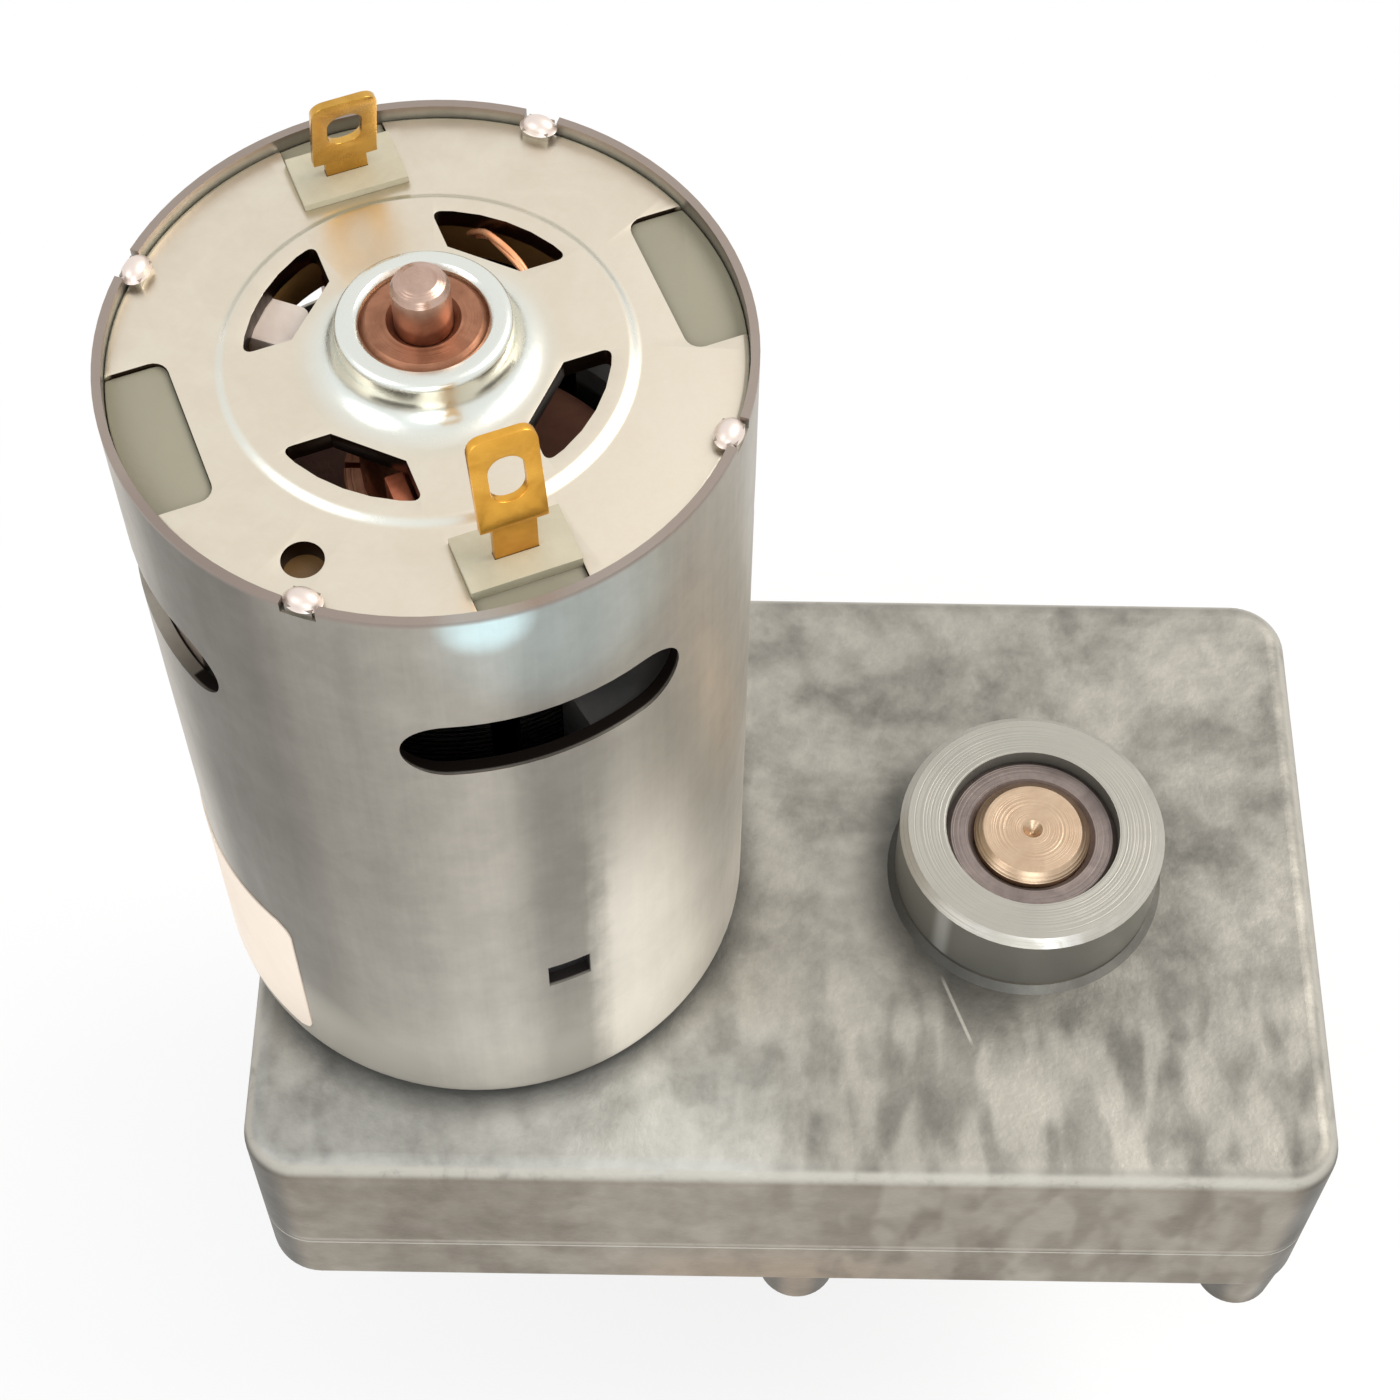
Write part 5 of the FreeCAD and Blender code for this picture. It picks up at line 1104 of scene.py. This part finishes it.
fluxSleeve = {"from": -139.5, "span": 62.0, "reach": 16.7 * mm, "low": 66.0 * mm, "high": 74.2 * mm,
              "thickness": 0.5 * mm, "edge": 0.06 * mm, "segments": 144}


def makeFluxSleeve(sizes):
    # a curved strip inside the can, behind part of its left slot
    sleeve = skinTube(sizes["reach"], sizes["low"], sizes["high"], sizes["segments"])
    openMesh(sleeve)
    sliceOff(motorAxis, towards(sizes["from"] + 90), fill=False)
    sliceOff(motorAxis, towards(sizes["from"] - sizes["span"] - 90), fill=False)
    turnOutwards()
    closeMesh()
    applyModifier(sleeve, "SOLIDIFY", thickness=sizes["thickness"], offset=0.0)
    softenEdges(sleeve, sizes["edge"])
    tidyMesh(sleeve)
    finishPiece(sleeve, "fluxSleeve", "motor_body", "sleeve_steel")


brushHolder = {
    "angle": -67.5, "inner": 4.95 * mm, "outer": 10.3 * mm, "half": 3.2 * mm, "top": 79.3 * mm,
    "drop": 4.2 * mm, "thickness": 0.35 * mm, "edge": 0.06 * mm, "fold": 0.5 * mm,
}


def makeBrushHolders(sizes):
    # an upturned channel: a top whose two sides are folded down past the brush
    def onSide(edge):
        return abs(abs(middleOf(edge).y) - sizes["half"]) < closeTo

    channel = newPrimitive(bpy.ops.mesh.primitive_plane_add,
                           (sizes["outer"] - sizes["inner"], 2 * sizes["half"], 1), size=1,
                           location=((sizes["inner"] + sizes["outer"]) / 2, 0, sizes["top"]))
    openMesh(channel)
    pick("edges", onSide)
    extrudeEdges((0, 0, -sizes["drop"]))
    pick("edges", lambda edge: onSide(edge) and abs(middleOf(edge).z - sizes["top"]) < closeTo)
    bevelPicked(sizes["fold"], 4)
    turnOutwards()
    closeMesh()
    applyModifier(channel, "SOLIDIFY", thickness=sizes["thickness"], offset=-1.0)
    softenEdges(channel, sizes["edge"])
    standAt(channel, sizes["angle"])
    spreadRound(channel, 2)
    tidyMesh(channel)
    finishPiece(channel, "brushHolders", "motor_body", "holder_copper")


leadStrands = {
    "radius": 0.19 * mm, "gap": 0.30 * mm, "turn": -3.0, "drop": 0.15 * mm,
    # angle, distance from the motor's axis and height of the points that a strand passes
    "points": ((84, 10.6, 79.6), (77, 10.0, 80.7), (73.5, 9.3, 81.6), (62.5, 8.45, 81.9), (53, 8.0, 81.8),
               (47, 7.9, 80.8), (42, 8.6, 79.5), (39, 9.6, 79.0)),
    "apartWithin": 10,
}


def makeLeadStrands(sizes):
    strands = []
    for number in range(2):
        bpy.ops.object.select_all(action="DESELECT")
        bpy.ops.curve.primitive_nurbs_path_add(location=(0, 0, 0))
        strand = bpy.context.object
        line = strand.data.splines[0]
        line.points.add(len(sizes["points"]) - len(line.points))
        for point, (angle, reach, height) in zip(line.points, sizes["points"]):
            inward = number * sizes["gap"] if reach < sizes["apartWithin"] else 0.0
            spot = aroundMotor(angle + sizes["turn"] * number, reach * mm - inward,
                               height * mm - sizes["drop"] * number)
            point.co = (*spot, 1)
        line.order_u = 4
        line.use_endpoint_u = True
        strand.data.bevel_depth = sizes["radius"]
        strand.data.bevel_resolution = 3
        strand.data.use_fill_caps = True
        selectOnly(strand)
        bpy.ops.object.convert(target="MESH")
        strands.append(bpy.context.object)
    pair = joined(strands)
    tidyMesh(pair)
    finishPiece(pair, "leadStrands", "motor_body", "bare_copper", 60)


carrierArm = {
    "angle": 161.0, "inner": 7.5 * mm, "outer": 10.3 * mm, "width": 3.0 * mm, "top": 80.8 * mm,
    "height": 2.0 * mm, "corner": 0.7 * mm, "edge": 0.15 * mm, "dish": 0.12 * mm, "border": 0.4 * mm,
}


def makeCarrierArm(sizes):
    middle = (sizes["inner"] + sizes["outer"]) / 2
    arm = block((middle, 0, sizes["top"] - sizes["height"] / 2),
                (sizes["outer"] - sizes["inner"], sizes["width"], sizes["height"]))
    roundUpright(arm, lambda spot: spot.x < middle, sizes["corner"])
    openMesh(arm)
    pick("faces", lambda face: face.normal.z > 0.9)
    bpy.ops.mesh.inset(thickness=sizes["border"])
    bpy.ops.transform.translate(value=(0, 0, -sizes["dish"]))
    closeMesh()
    softenEdges(arm, sizes["edge"])
    standAt(arm, sizes["angle"])
    finishPiece(arm, "carrierArm", "motor_body", "arm_nylon")


makeShuntTab(shuntTab)
makeFluxSleeve(fluxSleeve)
makeBrushHolders(brushHolder)
makeLeadStrands(leadStrands)
makeCarrierArm(carrierArm)
print("brush gear under the vents made")


# pan-head screws of the cover, with a cross recess in each head

coverScrew = {
    "places": ((-49.3, 19.5), (-49.3, -19.5), (0.0, 20.2), (0.0, -20.2)), "head": 2.25 * mm,
    "headHeight": 1.6 * mm, "shank": 1.05 * mm, "recess": 2.3 * mm, "slot": 0.55 * mm, "depth": 0.85 * mm,
    "tip": 0.3 * mm, "edge": 0.04 * mm, "segments": 40, "firstTurn": 17, "nextTurn": 61,
    # radius and height of the points on the domed head
    "dome": ((0.3, 0.0), (0.9, 0.03), (1.4, 0.14), (1.8, 0.34), (2.08, 0.62), (2.2, 0.95)), "rim": 1.3 * mm,
}


def makeCoverScrews(sizes):
    low, high = sizesOf["cover_screws"]
    bottom, seat = low.z, low.z + sizes["headHeight"]
    head, shank, tip = sizes["head"], sizes["shank"], sizes["tip"]
    profile = [(radius * mm, bottom + rise * mm) for radius, rise in sizes["dome"]]
    profile += [(head, bottom + sizes["rim"]), (head, seat), (shank, seat), (shank, high.z - tip),
                (shank - tip, high.z)]
    screw = turnedShape(profile, (0, 0), sizes["segments"])
    openMesh(screw)
    for height in (bottom, high.z):
        pick("edges", lambda edge: edge.is_boundary and abs(middleOf(edge).z - height) < closeTo)
        bpy.ops.mesh.edge_face_add()
    closeMesh()
    tidyMesh(screw)
    for angle in (0, 90):
        cutAway(screw, block((0, 0, bottom), (sizes["recess"], sizes["slot"], 2 * sizes["depth"]), angle))
    softenEdges(screw, sizes["edge"], angle=50)
    screws = []
    for number, (x, y) in enumerate(sizes["places"]):
        copy = copied(screw)
        # each head stopped at its own turn
        copy.rotation_euler = (0, 0, math.radians(sizes["firstTurn"] + sizes["nextTurn"] * number))
        copy.location = (x * mm, y * mm, 0)
        settle(copy)
        screws.append(copy)
    bpy.data.objects.remove(screw, do_unlink=True)
    fixings = joined(screws)
    finishPiece(fixings, "coverScrews", "motor_body", "screw_steel")
    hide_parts("cover_screws")


makeCoverScrews(coverScrew)
print("cover screws made")


# stage, light and camera

stageSizes = {"span": 6.0, "below": 0.02 * mm, "paint": (0.86, 0.86, 0.86), "rough": 0.9, "glowShare": 0.74,
              "whiteBeyond": (0.05, 0.12), "skyLight": 0.80}


def lightPath(tree):
    return addNode(tree, "ShaderNodeLightPath").outputs


def seenDirectly(tree):
    # 1 for what the camera sees, also in a mirror or through glass
    path = lightPath(tree)
    seen = larger(tree, path["Is Camera Ray"], path["Is Glossy Ray"])
    return larger(tree, seen, path["Is Transmission Ray"])


def makeStage(sizes):
    bpy.ops.object.select_all(action="DESELECT")
    bpy.ops.mesh.primitive_plane_add(size=sizes["span"], location=(0, 0, shaftTip - sizes["below"]))
    floor = bpy.context.object
    floor.name = "floor"
    material, tree, shader = newMaterial("floorPaint")
    setInput(tree, shader.inputs["Base Color"], sizes["paint"])
    setInput(tree, shader.inputs["Roughness"], sizes["rough"])
    glow = addNode(tree, "ShaderNodeEmission", {"Color": (1, 1, 1), "Strength": 1.0})
    # the shadow stays near the object, and the floor goes to plain white beyond it
    far = vectorMath(tree, "LENGTH", objectPlace(tree))["Value"]
    white = step(tree, far, *sizes["whiteBeyond"])
    glowing = mulAdd(tree, white, 1 - sizes["glowShare"], sizes["glowShare"])
    share = times(tree, seenDirectly(tree), glowing)
    painted = addNode(tree, "ShaderNodeMixShader", {0: share, 1: shader.outputs[0], 2: glow.outputs[0]})
    # from below the floor is see-through, so that the underside can be looked at
    clear = addNode(tree, "ShaderNodeBsdfTransparent")
    underside = addNode(tree, "ShaderNodeNewGeometry").outputs["Backfacing"]
    below = times(tree, underside, lightPath(tree)["Is Camera Ray"])
    shown = addNode(tree, "ShaderNodeMixShader", {0: below, 1: painted.outputs[0], 2: clear.outputs[0]})
    tree.links.new(shown.outputs[0], tree.nodes["Material Output"].inputs["Surface"])
    floor.data.materials.append(material)


def makeWorld(sizes):
    world = bpy.data.worlds.new("studio")
    bpy.context.scene.world = world
    world.use_nodes = True
    tree = world.node_tree
    background = tree.nodes["Background"]
    setInput(tree, background.inputs["Color"], (1, 1, 1))
    strength = spread(tree, seenDirectly(tree), sizes["skyLight"], 1.0)
    setInput(tree, background.inputs["Strength"], strength)


lampAim = Vector((motorX / 2, 0, 35 * mm))
lamps = {
    "keyLamp": {"at": (0.46, 0.14, 0.58), "size": 0.50, "power": 3.2, "colour": (1.0, 0.97, 0.92)},
    "fillLamp": {"at": (-0.45, -0.25, 0.45), "size": 0.45, "power": 0.8, "colour": (0.94, 0.97, 1.0)},
    "frontLamp": {"at": (0.02, -0.55, 0.25), "size": 0.35, "power": 0.8, "colour": (0.90, 0.97, 1.0)},
}


def addToScene(name, data):
    thing = bpy.data.objects.new(name, data)
    bpy.context.collection.objects.link(thing)
    return thing


def makeLamps():
    for name, lamp in lamps.items():
        data = bpy.data.lights.new(name, "AREA")
        data.shape = "DISK"
        data.size = lamp["size"]
        data.energy = lamp["power"]
        data.color = lamp["colour"]
        thing = addToScene(name, data)
        thing.location = lamp["at"]
        thing.rotation_euler = (lampAim - Vector(lamp["at"])).to_track_quat("-Z", "Y").to_euler()


# the view was fitted to outline points of the object, on a square picture
view = {
    "lens": 73.47, "sensor": 36.0, "nearest": 0.01, "at": (-23.00 * mm, -96.81 * mm, 202.74 * mm),
    "yaw": -0.050, "down": 58.141, "roll": 0.794,
}


def makeCamera():
    data = bpy.data.cameras.new("photoCamera")
    data.lens = view["lens"]
    data.sensor_width = view["sensor"]
    data.clip_start = view["nearest"]
    yaw, down, roll = (math.radians(view[name]) for name in ("yaw", "down", "roll"))
    ahead = Vector((math.sin(yaw) * math.cos(down), math.cos(yaw) * math.cos(down), -math.sin(down)))
    right = ahead.cross(Vector((0, 0, 1))).normalized()
    up = right.cross(ahead)
    rightTilted = right * math.cos(roll) + up * math.sin(roll)
    upTilted = up * math.cos(roll) - right * math.sin(roll)
    camera = addToScene("photoCamera", data)
    turn = Matrix((rightTilted, upTilted, -ahead)).transposed()
    camera.matrix_world = Matrix.Translation(view["at"]) @ turn.to_4x4()
    bpy.context.scene.camera = camera


makeStage(stageSizes)
makeWorld(stageSizes)
makeLamps()
makeCamera()
bpy.context.scene.view_settings.view_transform = "Standard"
print("stage, light and camera set")
